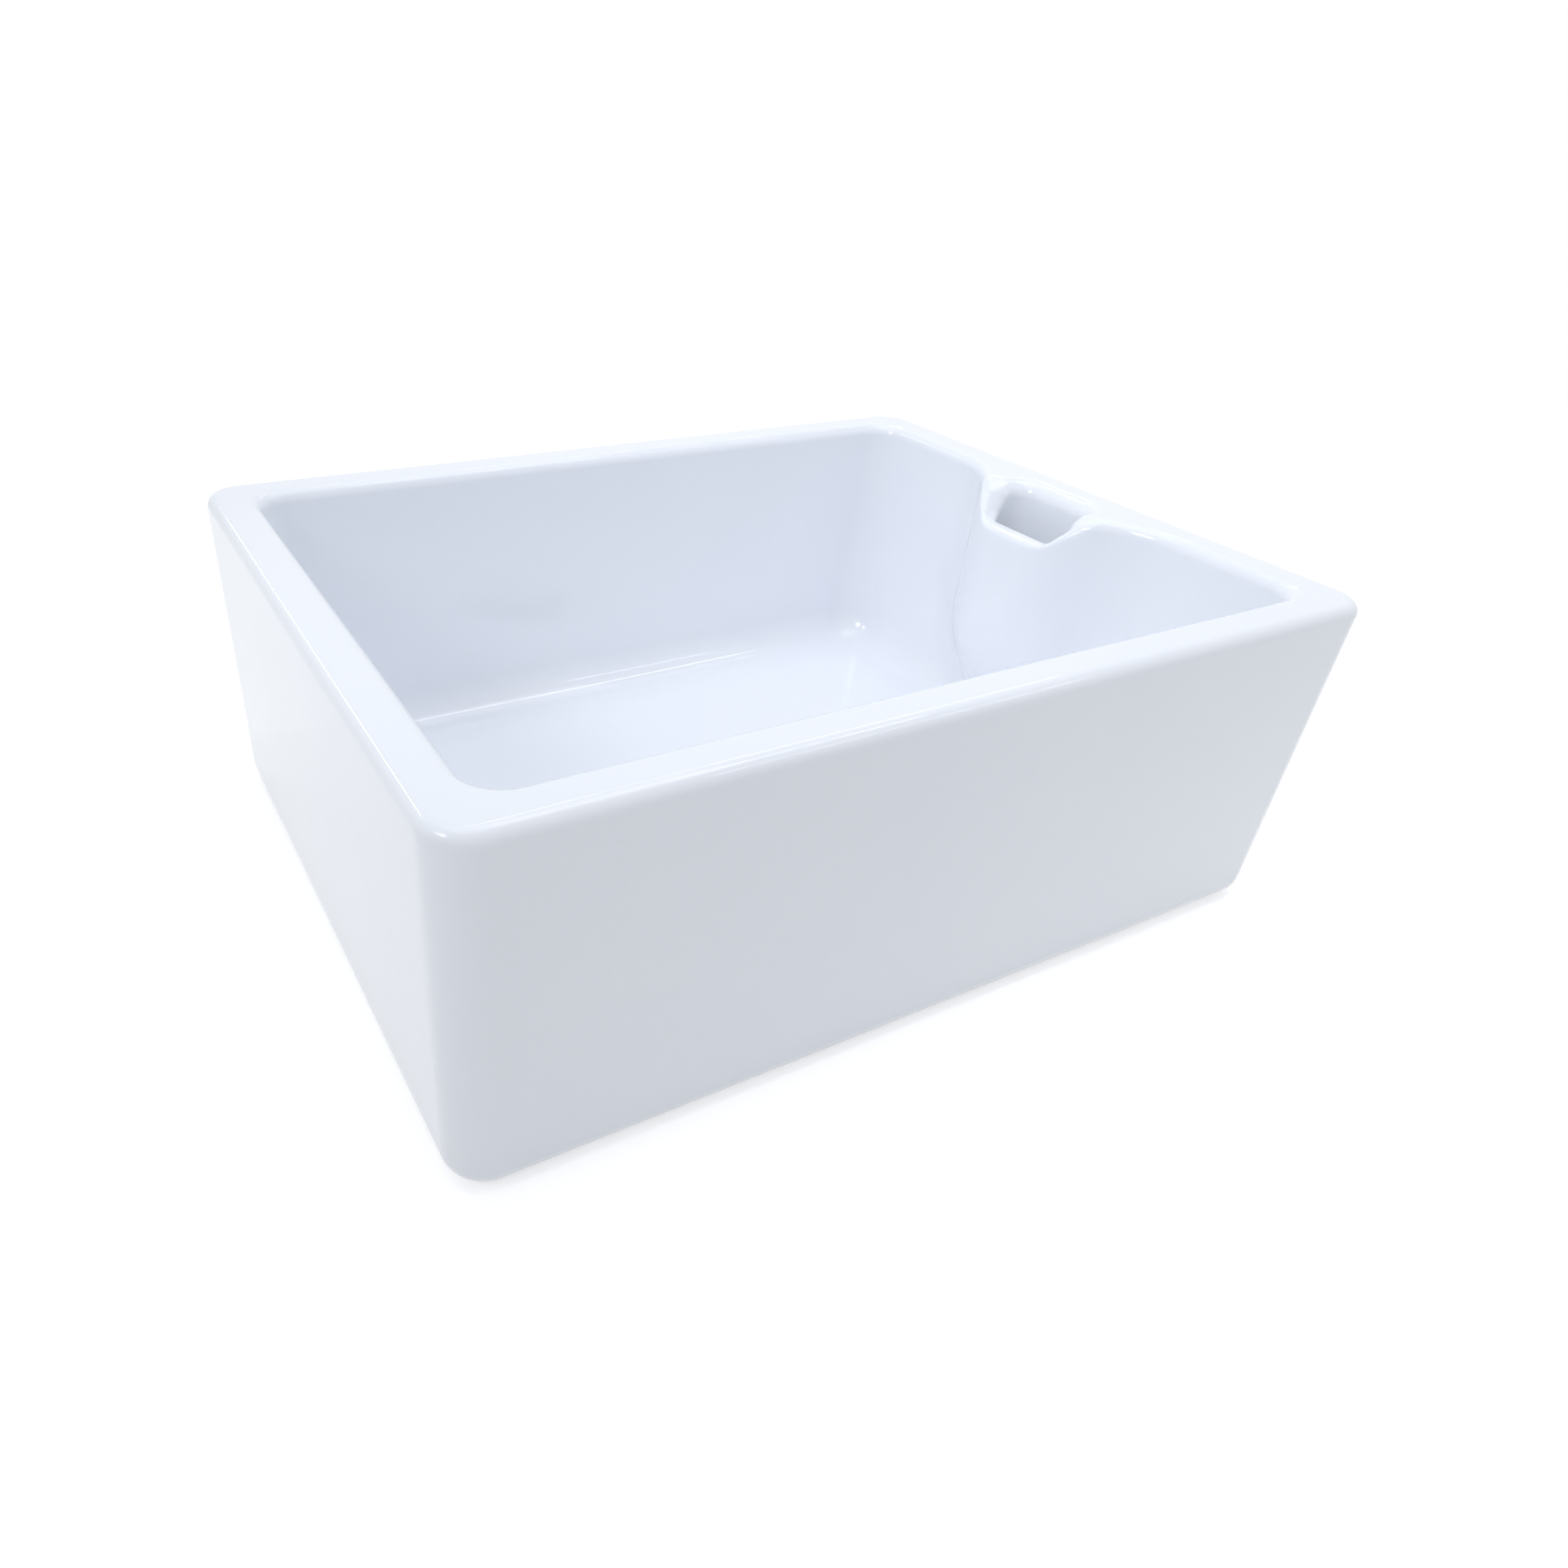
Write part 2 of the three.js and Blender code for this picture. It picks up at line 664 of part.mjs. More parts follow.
const sink = new THREE.Group();
sink.add(piece('sink_body', 'fireclay', sinkBody()), waste, basket);

export default sink;
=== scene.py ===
"""Looks of an apron front kitchen sink in white glazed fireclay, with its basket strainer waste.

Sizes are in millimetres until a mesh is made, and the meshes are in metres. X runs along the sink,
+Y towards the wall behind it, +Z up, and the origin is the centre of the sink's flat underside.
"""
import math

import bmesh
import bpy
import numpy as np
from mathutils import Matrix, Vector


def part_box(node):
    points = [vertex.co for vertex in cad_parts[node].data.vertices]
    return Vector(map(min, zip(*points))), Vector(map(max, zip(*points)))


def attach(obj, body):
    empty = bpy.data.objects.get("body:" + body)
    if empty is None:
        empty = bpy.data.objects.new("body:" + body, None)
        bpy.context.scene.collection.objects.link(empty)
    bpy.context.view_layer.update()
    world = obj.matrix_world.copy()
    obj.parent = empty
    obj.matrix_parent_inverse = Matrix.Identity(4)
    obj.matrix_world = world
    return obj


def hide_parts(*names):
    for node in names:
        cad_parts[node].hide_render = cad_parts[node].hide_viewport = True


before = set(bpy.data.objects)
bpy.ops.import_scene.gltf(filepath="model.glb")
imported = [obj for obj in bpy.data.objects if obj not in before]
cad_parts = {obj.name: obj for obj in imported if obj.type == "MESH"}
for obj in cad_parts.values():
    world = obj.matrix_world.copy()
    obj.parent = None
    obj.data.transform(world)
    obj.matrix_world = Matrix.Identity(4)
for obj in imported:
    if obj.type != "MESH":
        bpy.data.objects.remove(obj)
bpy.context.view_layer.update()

MM = 0.001


def box_of(node):
    """The lower and the upper corner of a CAD node in millimetres."""
    return [np.array(corner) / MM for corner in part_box(node)]


def added(name, data):
    """A new object in the scene."""
    made = bpy.data.objects.new(name, data)
    bpy.context.scene.collection.objects.link(made)
    return made


# ---------------- sizes of the casting

HALF_LENGTH, HALF_DEPTH, HEIGHT = box_of("sink_body")[1]
OUTER_CORNER_RADIUS = 24  # upright edges
BASE_EDGE_RADIUS = 16
RIM_OUTER_RADIUS = 8
RIM_WIDTH = 30
RIM_INNER_RADIUS = 8
BOWL_CORNER_RADIUS = 20
BOWL_CORNER_GROWTH = 12  # what that radius gains on the way down
WALL_DRAFT = 3
FLOOR_HEIGHT = 30  # at the foot of the walls
FLOOR_FALL = 2
FLOOR_FILLET = 25

WEIR_PROJECTION = 44
WEIR_FACE_WIDTH = 80
WEIR_FLANK_RUN = 27  # how far each flank spreads along the wall
WEIR_EDGE_RADIUS = 24
WEIR_ROOT_RADIUS = 32
WEIR_END_CENTRE = 125  # height from which the boss draws in to its rounded lower end
WEIR_END_SHARE = 0.85
SILL_DROP = 25
SILL_THICKNESS = 15
SILL_ROUND = 5
NOTCH_SILL_WIDTH = 60
NOTCH_SLOPE = math.radians(53)  # rise of the notch's sides
NOTCH_FOOT_RADIUS = 4
SHOULDER_RADIUS = 13  # of the notch's sides where they meet the rim
SLOT_WIDTH = 29
SLOT_LENGTH = 66
SLOT_CORNER_RADIUS = 13
SLOT_LIP_RADIUS = 12
SILL_LIP_RADIUS = 6
CHUTE_WIDTH = 12  # the foot of the slot, inside the end wall
CHUTE_SKIN = 11  # outer face to chute
CHUTE_TOP = 105
CHUTE_FOOT = 60
CHUTE_LEAD = 0.4  # share of the turn by which the chute's far wall goes ahead of its near one

DUCT_WIDTH = 52
DUCT_HEIGHT = 9
DUCT_FLOOR = 8
OUTLET_RADIUS = 45
REBATE_RADIUS = 57.5
REBATE_DEPTH = 4.2
SAUCER_RADIUS = 66.5
SEAT_RADIUS = 62
SEAT_DEPTH = 3
RECESS_CORNER_RADIUS = 1  # in the rebate and in the seat of the lower seal
DUCT_CORNER_RADIUS = 3
GLAZE_SOFTENING = 1.6  # radius that the glaze leaves on small edges
WARP = 0.5  # how far the fired faces wander
WARP_START = 20  # height at which the warp is whole, because the underside is flat

WEIR_FACE_X = HALF_LENGTH - RIM_WIDTH - WEIR_PROJECTION
SLOT_NEAR_X = WEIR_FACE_X + SILL_THICKNESS
SLOT_FAR_X = SLOT_NEAR_X + SLOT_WIDTH
CHUTE_FAR_X = HALF_LENGTH - CHUTE_SKIN
CHUTE_NEAR_X = CHUTE_FAR_X - CHUTE_WIDTH
OUTLET_FLOOR = FLOOR_HEIGHT - FLOOR_FALL


# ---------------- distance fields

# A field is negative inside its body. Its values are distances in millimetres near the surface.

def rectangle_field(x, y, half_x, half_y, radius):
    """An upright prism on a rectangle with round corners."""
    qx = np.abs(x) - half_x + radius
    qy = np.abs(y) - half_y + radius
    return np.hypot(np.maximum(qx, 0), np.maximum(qy, 0)) + np.minimum(np.maximum(qx, qy), 0) - radius


def common(a, b, radius):
    """What two bodies share, with the edge between their surfaces rounded."""
    corner = np.hypot(np.maximum(a + radius, 0), np.maximum(b + radius, 0))
    return np.minimum(-radius, np.maximum(a, b)) + corner


def without(a, b, radius):
    """Body a with b cut from it, and the edge of the cut rounded."""
    return common(a, -b, radius)


def waviness(x, y, z):
    """Slow warp of a fired casting, from 0 to 1."""
    a = np.sin(x / 53 + 0.7) * np.sin(y / 41 + 1.9) * np.sin(z / 47 + 0.4)
    b = np.sin(x / 27 + y / 36 + 2.1) * np.sin(z / 31 - x / 66 + 0.9)
    c = np.sin(y / 19 - x / 33 + z / 44)
    return 0.5 + 0.25 * a + 0.15 * b + 0.1 * c


def eased(share):
    """A share from 0 to 1 that starts and ends gently."""
    share = np.clip(share, 0, 1)
    return share * share * (3 - 2 * share)


def bowl_field(x, y, z):
    """The bowl with the weir's boss standing in from its right-hand wall."""
    depth = np.clip((HEIGHT - z) / (HEIGHT - FLOOR_HEIGHT), 0, 1)
    lean = WALL_DRAFT * depth
    half_x = HALF_LENGTH - RIM_WIDTH - lean
    half_y = HALF_DEPTH - RIM_WIDTH - lean
    walls = rectangle_field(x, y, half_x, half_y, BOWL_CORNER_RADIUS + BOWL_CORNER_GROWTH * depth)
    face = WEIR_FACE_X - x
    across = np.hypot(y, WEIR_END_SHARE * np.maximum(WEIR_END_CENTRE - z, 0))
    slope = WEIR_FLANK_RUN / WEIR_PROJECTION
    flank = (across - WEIR_FACE_WIDTH / 2 + face * slope) / math.hypot(1, slope)
    boss = common(face, flank, WEIR_EDGE_RADIUS)
    fall = np.clip((np.hypot(x, y) - SAUCER_RADIUS) / (HALF_DEPTH - RIM_WIDTH - SAUCER_RADIUS), 0, 1)
    floor = OUTLET_FLOOR + FLOOR_FALL * fall - z
    return common(common(walls, -boss, WEIR_ROOT_RADIUS), floor, FLOOR_FILLET)


def duct_field(x, y, z):
    """The duct in the floor, from the chute's foot to the outlet."""
    section_y = np.abs(y) - DUCT_WIDTH / 2
    section_z = np.abs(z - DUCT_FLOOR - DUCT_HEIGHT / 2) - DUCT_HEIGHT / 2
    section = common(section_y, section_z, DUCT_CORNER_RADIUS)
    return np.maximum(section, np.maximum(-x, x - CHUTE_NEAR_X - CHUTE_WIDTH / 2))


def slot_field(x, y, z):
    """The slot behind the sill, and the chute that it turns into inside the end wall."""
    turn = CHUTE_TOP - CHUTE_FOOT
    near = SLOT_NEAR_X + (CHUTE_NEAR_X - SLOT_NEAR_X) * eased((CHUTE_TOP - z) / turn)
    far = SLOT_FAR_X + (CHUTE_FAR_X - SLOT_FAR_X) * eased((CHUTE_TOP - z) / turn + CHUTE_LEAD)
    half = (far - near) / 2
    radius = np.minimum(SLOT_CORNER_RADIUS, half)
    plan = rectangle_field(x - (far + near) / 2, y, half, SLOT_LENGTH / 2, radius)
    return common(plan, DUCT_FLOOR - z, DUCT_CORNER_RADIUS)


def notch_field(x, y, z):
    """The notch over the sill, open upwards."""
    sill = HEIGHT - SILL_DROP
    beyond = np.abs(y) - NOTCH_SILL_WIDTH / 2
    side = beyond * math.sin(NOTCH_SLOPE) - (z - sill) * math.cos(NOTCH_SLOPE)
    notch = common(side, sill - z, NOTCH_FOOT_RADIUS)
    notch = common(notch, x - SLOT_NEAR_X - SILL_LIP_RADIUS, SILL_LIP_RADIUS)
    return np.maximum(notch, WEIR_FACE_X - WEIR_PROJECTION - x)


def casting_field(x, y, z):
    """The whole casting, with its bowl, weir, duct and outlet."""
    plan = rectangle_field(x, y, HALF_LENGTH, HALF_DEPTH, OUTER_CORNER_RADIUS)
    body = common(common(plan, z - HEIGHT, RIM_OUTER_RADIUS), -z, BASE_EDGE_RADIUS)
    body = body + WARP * waviness(x, y, z) * np.clip(z / WARP_START, 0, 1)
    body = without(body, bowl_field(x, y, z), RIM_INNER_RADIUS)
    share = eased((x - SLOT_NEAR_X) / (SLOT_WIDTH / 2))
    lip = SILL_LIP_RADIUS + (SLOT_LIP_RADIUS - SILL_LIP_RADIUS) * share
    body = without(body, slot_field(x, y, z), lip)
    share = eased((z - HEIGHT + SILL_DROP) / SILL_DROP)
    shoulder = SILL_ROUND + (SHOULDER_RADIUS - SILL_ROUND) * share
    body = without(body, notch_field(x, y, z), shoulder)
    body = without(body, duct_field(x, y, z), GLAZE_SOFTENING)
    outlet_distance = np.hypot(x, y)
    body = without(body, outlet_distance - OUTLET_RADIUS, GLAZE_SOFTENING)
    rebate = common(outlet_distance - REBATE_RADIUS, OUTLET_FLOOR - REBATE_DEPTH - z, RECESS_CORNER_RADIUS)
    body = without(body, rebate, GLAZE_SOFTENING)
    seat = common(outlet_distance - SEAT_RADIUS, z - SEAT_DEPTH, RECESS_CORNER_RADIUS)
    return without(body, seat, GLAZE_SOFTENING)


# ---------------- meshes from fields


def spaced(*stretches):
    """Grid lines from stretches of (start, end, step)."""
    lines = [np.linspace(a, b, max(2, round((b - a) / step) + 1)) for a, b, step in stretches]
    return np.unique(np.round(np.concatenate(lines), 4))


def field_mesh(field, xs, ys, zs, relaxations=3):
    """Vertices and quads on the surface of a field, one vertex in each grid cell that it passes."""
    grid = np.stack(np.meshgrid(xs, ys, zs, indexing="ij"), axis=-1)
    values = field(grid[..., 0], grid[..., 1], grid[..., 2])
    inside = values < 0
    cells = tuple(n - 1 for n in values.shape)
    total = np.zeros(cells + (3,))
    count = np.zeros(cells)
    crossings = []
    for axis in range(3):
        low = [slice(None)] * 3
        high = [slice(None)] * 3
        low[axis] = slice(None, -1)
        high[axis] = slice(1, None)
        low, high = tuple(low), tuple(high)
        crosses = inside[low] != inside[high]
        crossings.append((crosses, inside[low]))
        share = np.where(crosses, values[low] / np.where(crosses, values[low] - values[high], 1), 0)
        point = grid[low] + share[..., None] * (grid[high] - grid[low])
        point = np.where(crosses[..., None], point, 0)
        others = [a for a in range(3) if a != axis]
        for shift in ((0, 0), (0, 1), (1, 0), (1, 1)):
            part = [slice(None)] * 3
            for other, offset in zip(others, shift):
                part[other] = slice(offset, offset + cells[other])
            total += point[tuple(part)]
            count += crosses[tuple(part)]
    used = count > 0
    index = np.full(cells, -1)
    index[used] = np.arange(used.sum())
    vertices = total[used] / count[used][:, None]
    quads = []
    for axis, (crosses, low_inside) in enumerate(crossings):
        a, b = [(axis + 1) % 3, (axis + 2) % 3]
        at = np.argwhere(crosses)
        at = at[(at[:, a] > 0) & (at[:, b] > 0) & (at[:, a] < cells[a]) & (at[:, b] < cells[b])]
        ring = []
        for da, db in ((-1, -1), (0, -1), (0, 0), (-1, 0)):
            cell = at.copy()
            cell[:, a] += da
            cell[:, b] += db
            ring.append(index[cell[:, 0], cell[:, 1], cell[:, 2]])
        ring = np.stack(ring, axis=1)
        outward = low_inside[at[:, 0], at[:, 1], at[:, 2]]
        ring[~outward] = ring[~outward][:, ::-1]
        quads.append(ring)
    quads = np.concatenate(quads)
    vertices = settled(field, vertices)
    for _ in range(relaxations):
        vertices = settled(field, relaxed(vertices, quads))
    return vertices, quads


def settled(field, points, rounds=4, longest=1.5, least=0.25):
    """Points moved along the field's slope onto its surface, at most one longest step in each round."""
    for _ in range(rounds):
        slope = slope_of(field, points)
        steep = np.maximum((slope ** 2).sum(axis=1), least)
        step = np.clip(field(*points.T) / steep, -longest, longest)
        points = points - step[:, None] * slope
    return points


def relaxed(points, quads):
    """Points drawn halfway to the middle of their neighbours."""
    total = np.zeros_like(points)
    count = np.zeros(len(points))
    for a, b in ((0, 1), (1, 2), (2, 3), (3, 0)):
        for here, there in ((quads[:, a], quads[:, b]), (quads[:, b], quads[:, a])):
            for axis in range(3):
                total[:, axis] += np.bincount(here, weights=points[there, axis], minlength=len(points))
            count += np.bincount(here, minlength=len(points))
    return 0.5 * points + 0.5 * total / np.maximum(count, 1)[:, None]


def slope_of(field, points, reach=0.05):
    """A field's gradient."""
    x, y, z = points.T
    return np.stack([
        field(x + reach, y, z) - field(x - reach, y, z),
        field(x, y + reach, z) - field(x, y - reach, z),
        field(x, y, z + reach) - field(x, y, z - reach),
    ], axis=1) / (2 * reach)


def placed(piece, body, node, finish):
    """Gives a piece its finish, its body and the CAD node that it stands for."""
    piece.data.materials.append(finish)
    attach(piece, body)
    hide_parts(node)


# ---------------- meshes turned round the outlet's axis

AROUND = 144  # steps round a turned piece; the hole counts 8, 12 and 16 all divide it
BEND_STEPS = 8  # steps in a rounded corner


def node_size(node):
    """A round CAD node's radius, foot and top in millimetres."""
    low, high = box_of(node)
    return max(high[0], high[1]), low[2], high[2]


def unit(vector):
    return vector / np.linalg.norm(vector)


def rounded_line(corners, closed=False, steps=BEND_STEPS):
    """Points along a line of (radius, height, rounding) corners."""
    points = []
    last = len(corners) - 1
    for k, (radius, height, rounding) in enumerate(corners):
        here = np.array((radius, height), dtype=float)
        if rounding == 0 or (not closed and k in (0, last)):
            points.append(here)
            continue
        before = unit(np.array(corners[k - 1][:2]) - here)
        after = unit(np.array(corners[(k + 1) % len(corners)][:2]) - here)
        half = math.acos(np.clip(before @ after, -1, 1)) / 2
        centre = here + unit(before + after) * rounding / math.sin(half)
        start = here + before * rounding / math.tan(half) - centre
        end = here + after * rounding / math.tan(half) - centre
        turn = math.pi - 2 * half
        for step in range(steps + 1):
            share = step / steps
            swung = math.sin((1 - share) * turn) * start + math.sin(share * turn) * end
            points.append(centre + swung / math.sin(turn))
    return np.array(points)


def refined(line, step, closed=True, zone=None):
    """The same line with no two points further apart than a step, at least where they lie in a zone."""
    ends = np.roll(line, -1, axis=0) if closed else line[1:]
    points = []
    for start, end in zip(line, ends):
        parts = max(1, math.ceil(np.linalg.norm(end - start) / step))
        if zone is not None and not zone((start + end) / 2):
            parts = 1
        points += [start + (end - start) * k / parts for k in range(parts)]
    if not closed:
        points.append(line[-1])
    return np.array(points)


def round_z(angle, radius, height):
    """Points from their angle round the Z axis, their radius and their height."""
    return np.stack(np.broadcast_arrays(radius * np.cos(angle), radius * np.sin(angle), height), axis=-1)


def strip_of(loops):
    """Quads between loops of vertex numbers, each joined to the next."""
    return [
        (a[i], a[(i + 1) % len(a)], b[(i + 1) % len(a)], b[i])
        for a, b in zip(loops, loops[1:])
        for i in range(len(a))
    ]


def turned(line, relief=None, around=AROUND):
    """A line of (radius, height) points turned round the Z axis. It closes on itself or at the axis."""
    line = np.asarray(line, dtype=float)
    poles = line[0, 0] == 0
    rings = line[1:-1] if poles else line
    angle = np.arange(around) * 2 * math.pi / around
    radius = np.repeat(rings[:, :1], around, axis=1)
    height = np.repeat(rings[:, 1:], around, axis=1)
    if relief is not None:
        radius = radius - relief(angle[None, :], radius, height)
    vertices = round_z(angle, radius, height).reshape(-1, 3)
    loops = [list(range(j * around, (j + 1) * around)) for j in range(len(rings))]
    if not poles:
        return vertices, strip_of(loops + loops[:1])
    first, last = len(vertices), len(vertices) + 1
    vertices = np.vstack([vertices, [(0, 0, line[0, 1]), (0, 0, line[-1, 1])]])
    faces = strip_of(loops)
    for i in range(around):
        faces.append((first, loops[0][(i + 1) % around], loops[0][i]))
        faces.append((last, loops[-1][i], loops[-1][(i + 1) % around]))
    return vertices, faces


def thread(pitch, depth, foot, top, reach=3):
    """The relief of a screw thread between two heights on whatever lies near the outermost radius."""
    steepness = 1.6
    crest = 0.3

    def relief(angle, radius, height):
        outermost = radius.max()
        turn = (height / pitch - angle / (2 * math.pi)) % 1
        groove = np.clip(steepness * np.abs(2 * turn - 1) - crest, 0, 1)
        ends = np.clip((height - foot) / pitch, 0, 1) * np.clip((top - height) / pitch, 0, 1)
        return depth * groove * ends * (radius > outermost - reach)
    return relief


def lengths_of(line):
    """How far along a line each of its points lies."""
    return np.concatenate([[0], np.cumsum(np.linalg.norm(np.diff(line, axis=0), axis=1))])


def along(line, radius=None, height=None):
    """How far along a line of (radius, height) points it first comes to a radius, or last to a height."""
    lengths = lengths_of(line)
    values = line[:, 0] - radius if height is None else line[:, 1] - height
    k = np.nonzero(values[:-1] * values[1:] <= 0)[0][0 if height is None else -1]
    return lengths[k] + (lengths[k + 1] - lengths[k]) * values[k] / (values[k] - values[k + 1])


def perforated(line, thickness, rows, step=1.6, edge=0.22):
    """A sheet turned round the Z axis from a line on its right-hand side, with rows of round holes.

    A row is (place along the line, number of holes, first hole's turn in steps, radius, half width of
    the patch round a hole in steps, half its height in lines).
    """
    margin = 0.8  # from a hole to the edge of its patch
    spare = 0.3  # from a patch to the next mark
    nearby = 0.02
    lengths = lengths_of(line)
    marks = list(lengths[1:-1])
    for place, _, _, radius, _, half in rows:
        marks = [p for p in marks if abs(p - place) > radius + margin + spare]
        marks += list(np.linspace(place - radius - margin, place + radius + margin, 2 * half + 1))
    marks = sorted(marks + [thickness / 2, lengths[-1] - thickness / 2])
    filled = []
    for start, end in zip(marks, marks[1:]):
        parts = max(1, math.ceil((end - start) / step))
        filled += [start + (end - start) * k / parts for k in range(parts)]
    marks = np.array(filled + [marks[-1]])

    def place_of(angle, mark, depth):
        """Points by their angle, their place along the line and their depth into the sheet."""
        spot, ahead, back = (
            np.stack([np.interp(mark + shift, lengths, line[:, k]) for k in (0, 1)], axis=-1)
            for shift in (0, nearby, -nearby)
        )
        run = ahead - back
        run = run / np.linalg.norm(run, axis=-1, keepdims=True)
        return round_z(angle, spot[..., 0] - run[..., 1] * depth, spot[..., 1] + run[..., 0] * depth)

    angles = np.arange(AROUND) * 2 * math.pi / AROUND
    grid_angle, grid_mark = np.meshgrid(angles, marks)
    vertices = [place_of(grid_angle, grid_mark, 0).reshape(-1, 3)]
    vertices.append(place_of(grid_angle, grid_mark, thickness).reshape(-1, 3))
    sides = [np.arange(len(marks) * AROUND).reshape(len(marks), AROUND)]
    sides.append(sides[0] + len(marks) * AROUND)
    total = 2 * len(marks) * AROUND
    faces = []
    taken = np.zeros(grid_angle.shape, dtype=bool)

    for place, number, first, radius, half_wide, half_high in rows:
        middle = int(np.argmin(np.abs(marks - place)))
        for hole in range(number):
            centre = first + hole * AROUND // number
            wide = range(centre - half_wide, centre + half_wide)
            high = range(middle - half_high, middle + half_high)
            for j in high:
                taken[j, [i % AROUND for i in wide]] = True
            right, top = centre + half_wide, middle + half_high
            ring = [(middle - half_high, i) for i in wide] + [(j, right) for j in high]
            ring += [(top, i) for i in range(right, centre - half_wide, -1)]
            ring += [(j, centre - half_wide) for j in range(top, middle - half_high, -1)]
            j, i = np.array(ring).T
            spot_radius = np.interp(place, lengths, line[:, 0])
            turn = 2 * math.pi / AROUND
            around_hole = np.arctan2(marks[j] - marks[middle], (i - centre) * turn * spot_radius)
            loops = [sides[0][j, i % AROUND]]
            chamfer = (1 - math.sqrt(0.5)) * edge
            for wider, depth in (
                (edge, 0), (chamfer, chamfer), (0, edge),
                (0, thickness - edge), (chamfer, thickness - chamfer), (edge, thickness),
            ):
                reach = radius + wider
                angle = centre * turn + reach * np.cos(around_hole) / spot_radius
                vertices.append(place_of(angle, marks[middle] + reach * np.sin(around_hole), depth))
                loops.append(np.arange(total, total + len(ring)))
                total += len(ring)
            loops.append(sides[1][j, i % AROUND])
            faces += strip_of(loops)

    for j in range(len(marks) - 1):
        for i in np.nonzero(~taken[j])[0]:
            n = (i + 1) % AROUND
            for a, b in ((j, j + 1), (j + 1, j)):
                side = sides[0] if a < b else sides[1]
                faces.append((side[a, i], side[a, n], side[b, n], side[b, i]))

    lip_steps = 6
    for row, outward in ((0, -1), (len(marks) - 1, 1)):
        loops = [sides[0][row]]
        for k in range(1, lip_steps):
            swing = math.pi * k / lip_steps
            bulge = outward * math.sin(swing) * thickness / 2
            depth = (1 - math.cos(swing)) * thickness / 2
            flat, ahead, back = (
                place_of(angles, np.full(AROUND, marks[row] + shift), depth)
                for shift in (0, nearby / 2, -nearby / 2)
            )
            run = ahead - back
            vertices.append(flat + bulge * run / np.linalg.norm(run, axis=1, keepdims=True))
            loops.append(np.arange(total, total + AROUND))
            total += AROUND
        loops.append(sides[1][row])
        faces += strip_of(loops)

    vertices = np.concatenate(vertices)
    faces = np.array(faces)
    used, faces = np.unique(faces, return_inverse=True)
    return vertices[used], faces.reshape(-1, 4)


def hexagon_nut(across, foot, top, bore, sides=96):
    """A hexagonal prism with a round bore and turned-off corners."""
    chamfer = math.tan(math.radians(28))
    least = 0.15  # drop of the chamfer at the middle of a flat
    inset = 0.4  # from the flats in to where the chamfer starts
    small = 0.3  # chamfer of the bore
    angle = np.arange(sides) * 2 * math.pi / sides
    sixth = (angle + math.pi / 6) % (math.pi / 3) - math.pi / 6
    hexagon = across / 2 / np.cos(sixth)
    drop = (hexagon - across / 2) * chamfer + least
    rings = [
        (bore, foot + small), (bore + small, foot), (across / 2 - inset, foot), (hexagon, foot + drop),
        (hexagon, top - drop), (across / 2 - inset, top), (bore + small, top), (bore, top - small),
    ]
    vertices = np.concatenate([round_z(angle, radius, height) for radius, height in rings])
    loops = [list(range(j * sides, (j + 1) * sides)) for j in range(len(rings))]
    return vertices, strip_of(loops + loops[:1])


def block(length, width, height, centre, rounding=0.5):
    """A box with its edges rounded off, as a helper for joins and cuts."""
    shape = bmesh.new()
    bmesh.ops.create_cube(shape, size=1)
    bmesh.ops.scale(shape, vec=(length, width, height), verts=shape.verts)
    bmesh.ops.bevel(shape, geom=shape.edges, offset=rounding, segments=3, affect="EDGES", profile=0.5)
    bmesh.ops.translate(shape, vec=centre, verts=shape.verts)
    shape.verts.index_update()
    vertices = np.array([vertex.co[:] for vertex in shape.verts])
    faces = [[vertex.index for vertex in face.verts] for face in shape.faces]
    shape.free()
    return vertices, faces


def mesh_from(name, shape):
    """A mesh in metres with its faces pointing out."""
    vertices, faces = shape
    mesh = bpy.data.meshes.new(name)
    mesh.from_pydata((np.asarray(vertices) * MM).tolist(), [], [list(map(int, face)) for face in faces])
    work = bmesh.new()
    work.from_mesh(mesh)
    bmesh.ops.recalc_face_normals(work, faces=work.faces)
    work.to_mesh(mesh)
    work.free()
    return mesh


def fitting(name, shape, body, node, finish, joins=(), cuts=(), crease=math.radians(35)):
    """One piece of the waste, with helpers joined to it and cut from it."""
    piece = added(name, mesh_from(name, shape))
    helpers = []
    for operation, shapes in (("UNION", joins), ("DIFFERENCE", cuts)):
        for helper_shape in shapes:
            helper = added("helper", mesh_from("helper", helper_shape))
            helpers.append(helper)
            modifier = piece.modifiers.new(operation.lower(), "BOOLEAN")
            modifier.operation = operation
            modifier.solver = "EXACT"
            modifier.object = helper
    if helpers:
        evaluated = piece.evaluated_get(bpy.context.evaluated_depsgraph_get())
        made = bpy.data.meshes.new_from_object(evaluated)
        piece.modifiers.clear()
        piece.data = made
        for helper in helpers:
            bpy.data.objects.remove(helper)
    piece.data.materials.clear()
    piece.data.shade_smooth()
    piece.data.set_sharp_from_angle(angle=crease)
    placed(piece, body, node, finish)


# ---------------- sizes of the waste

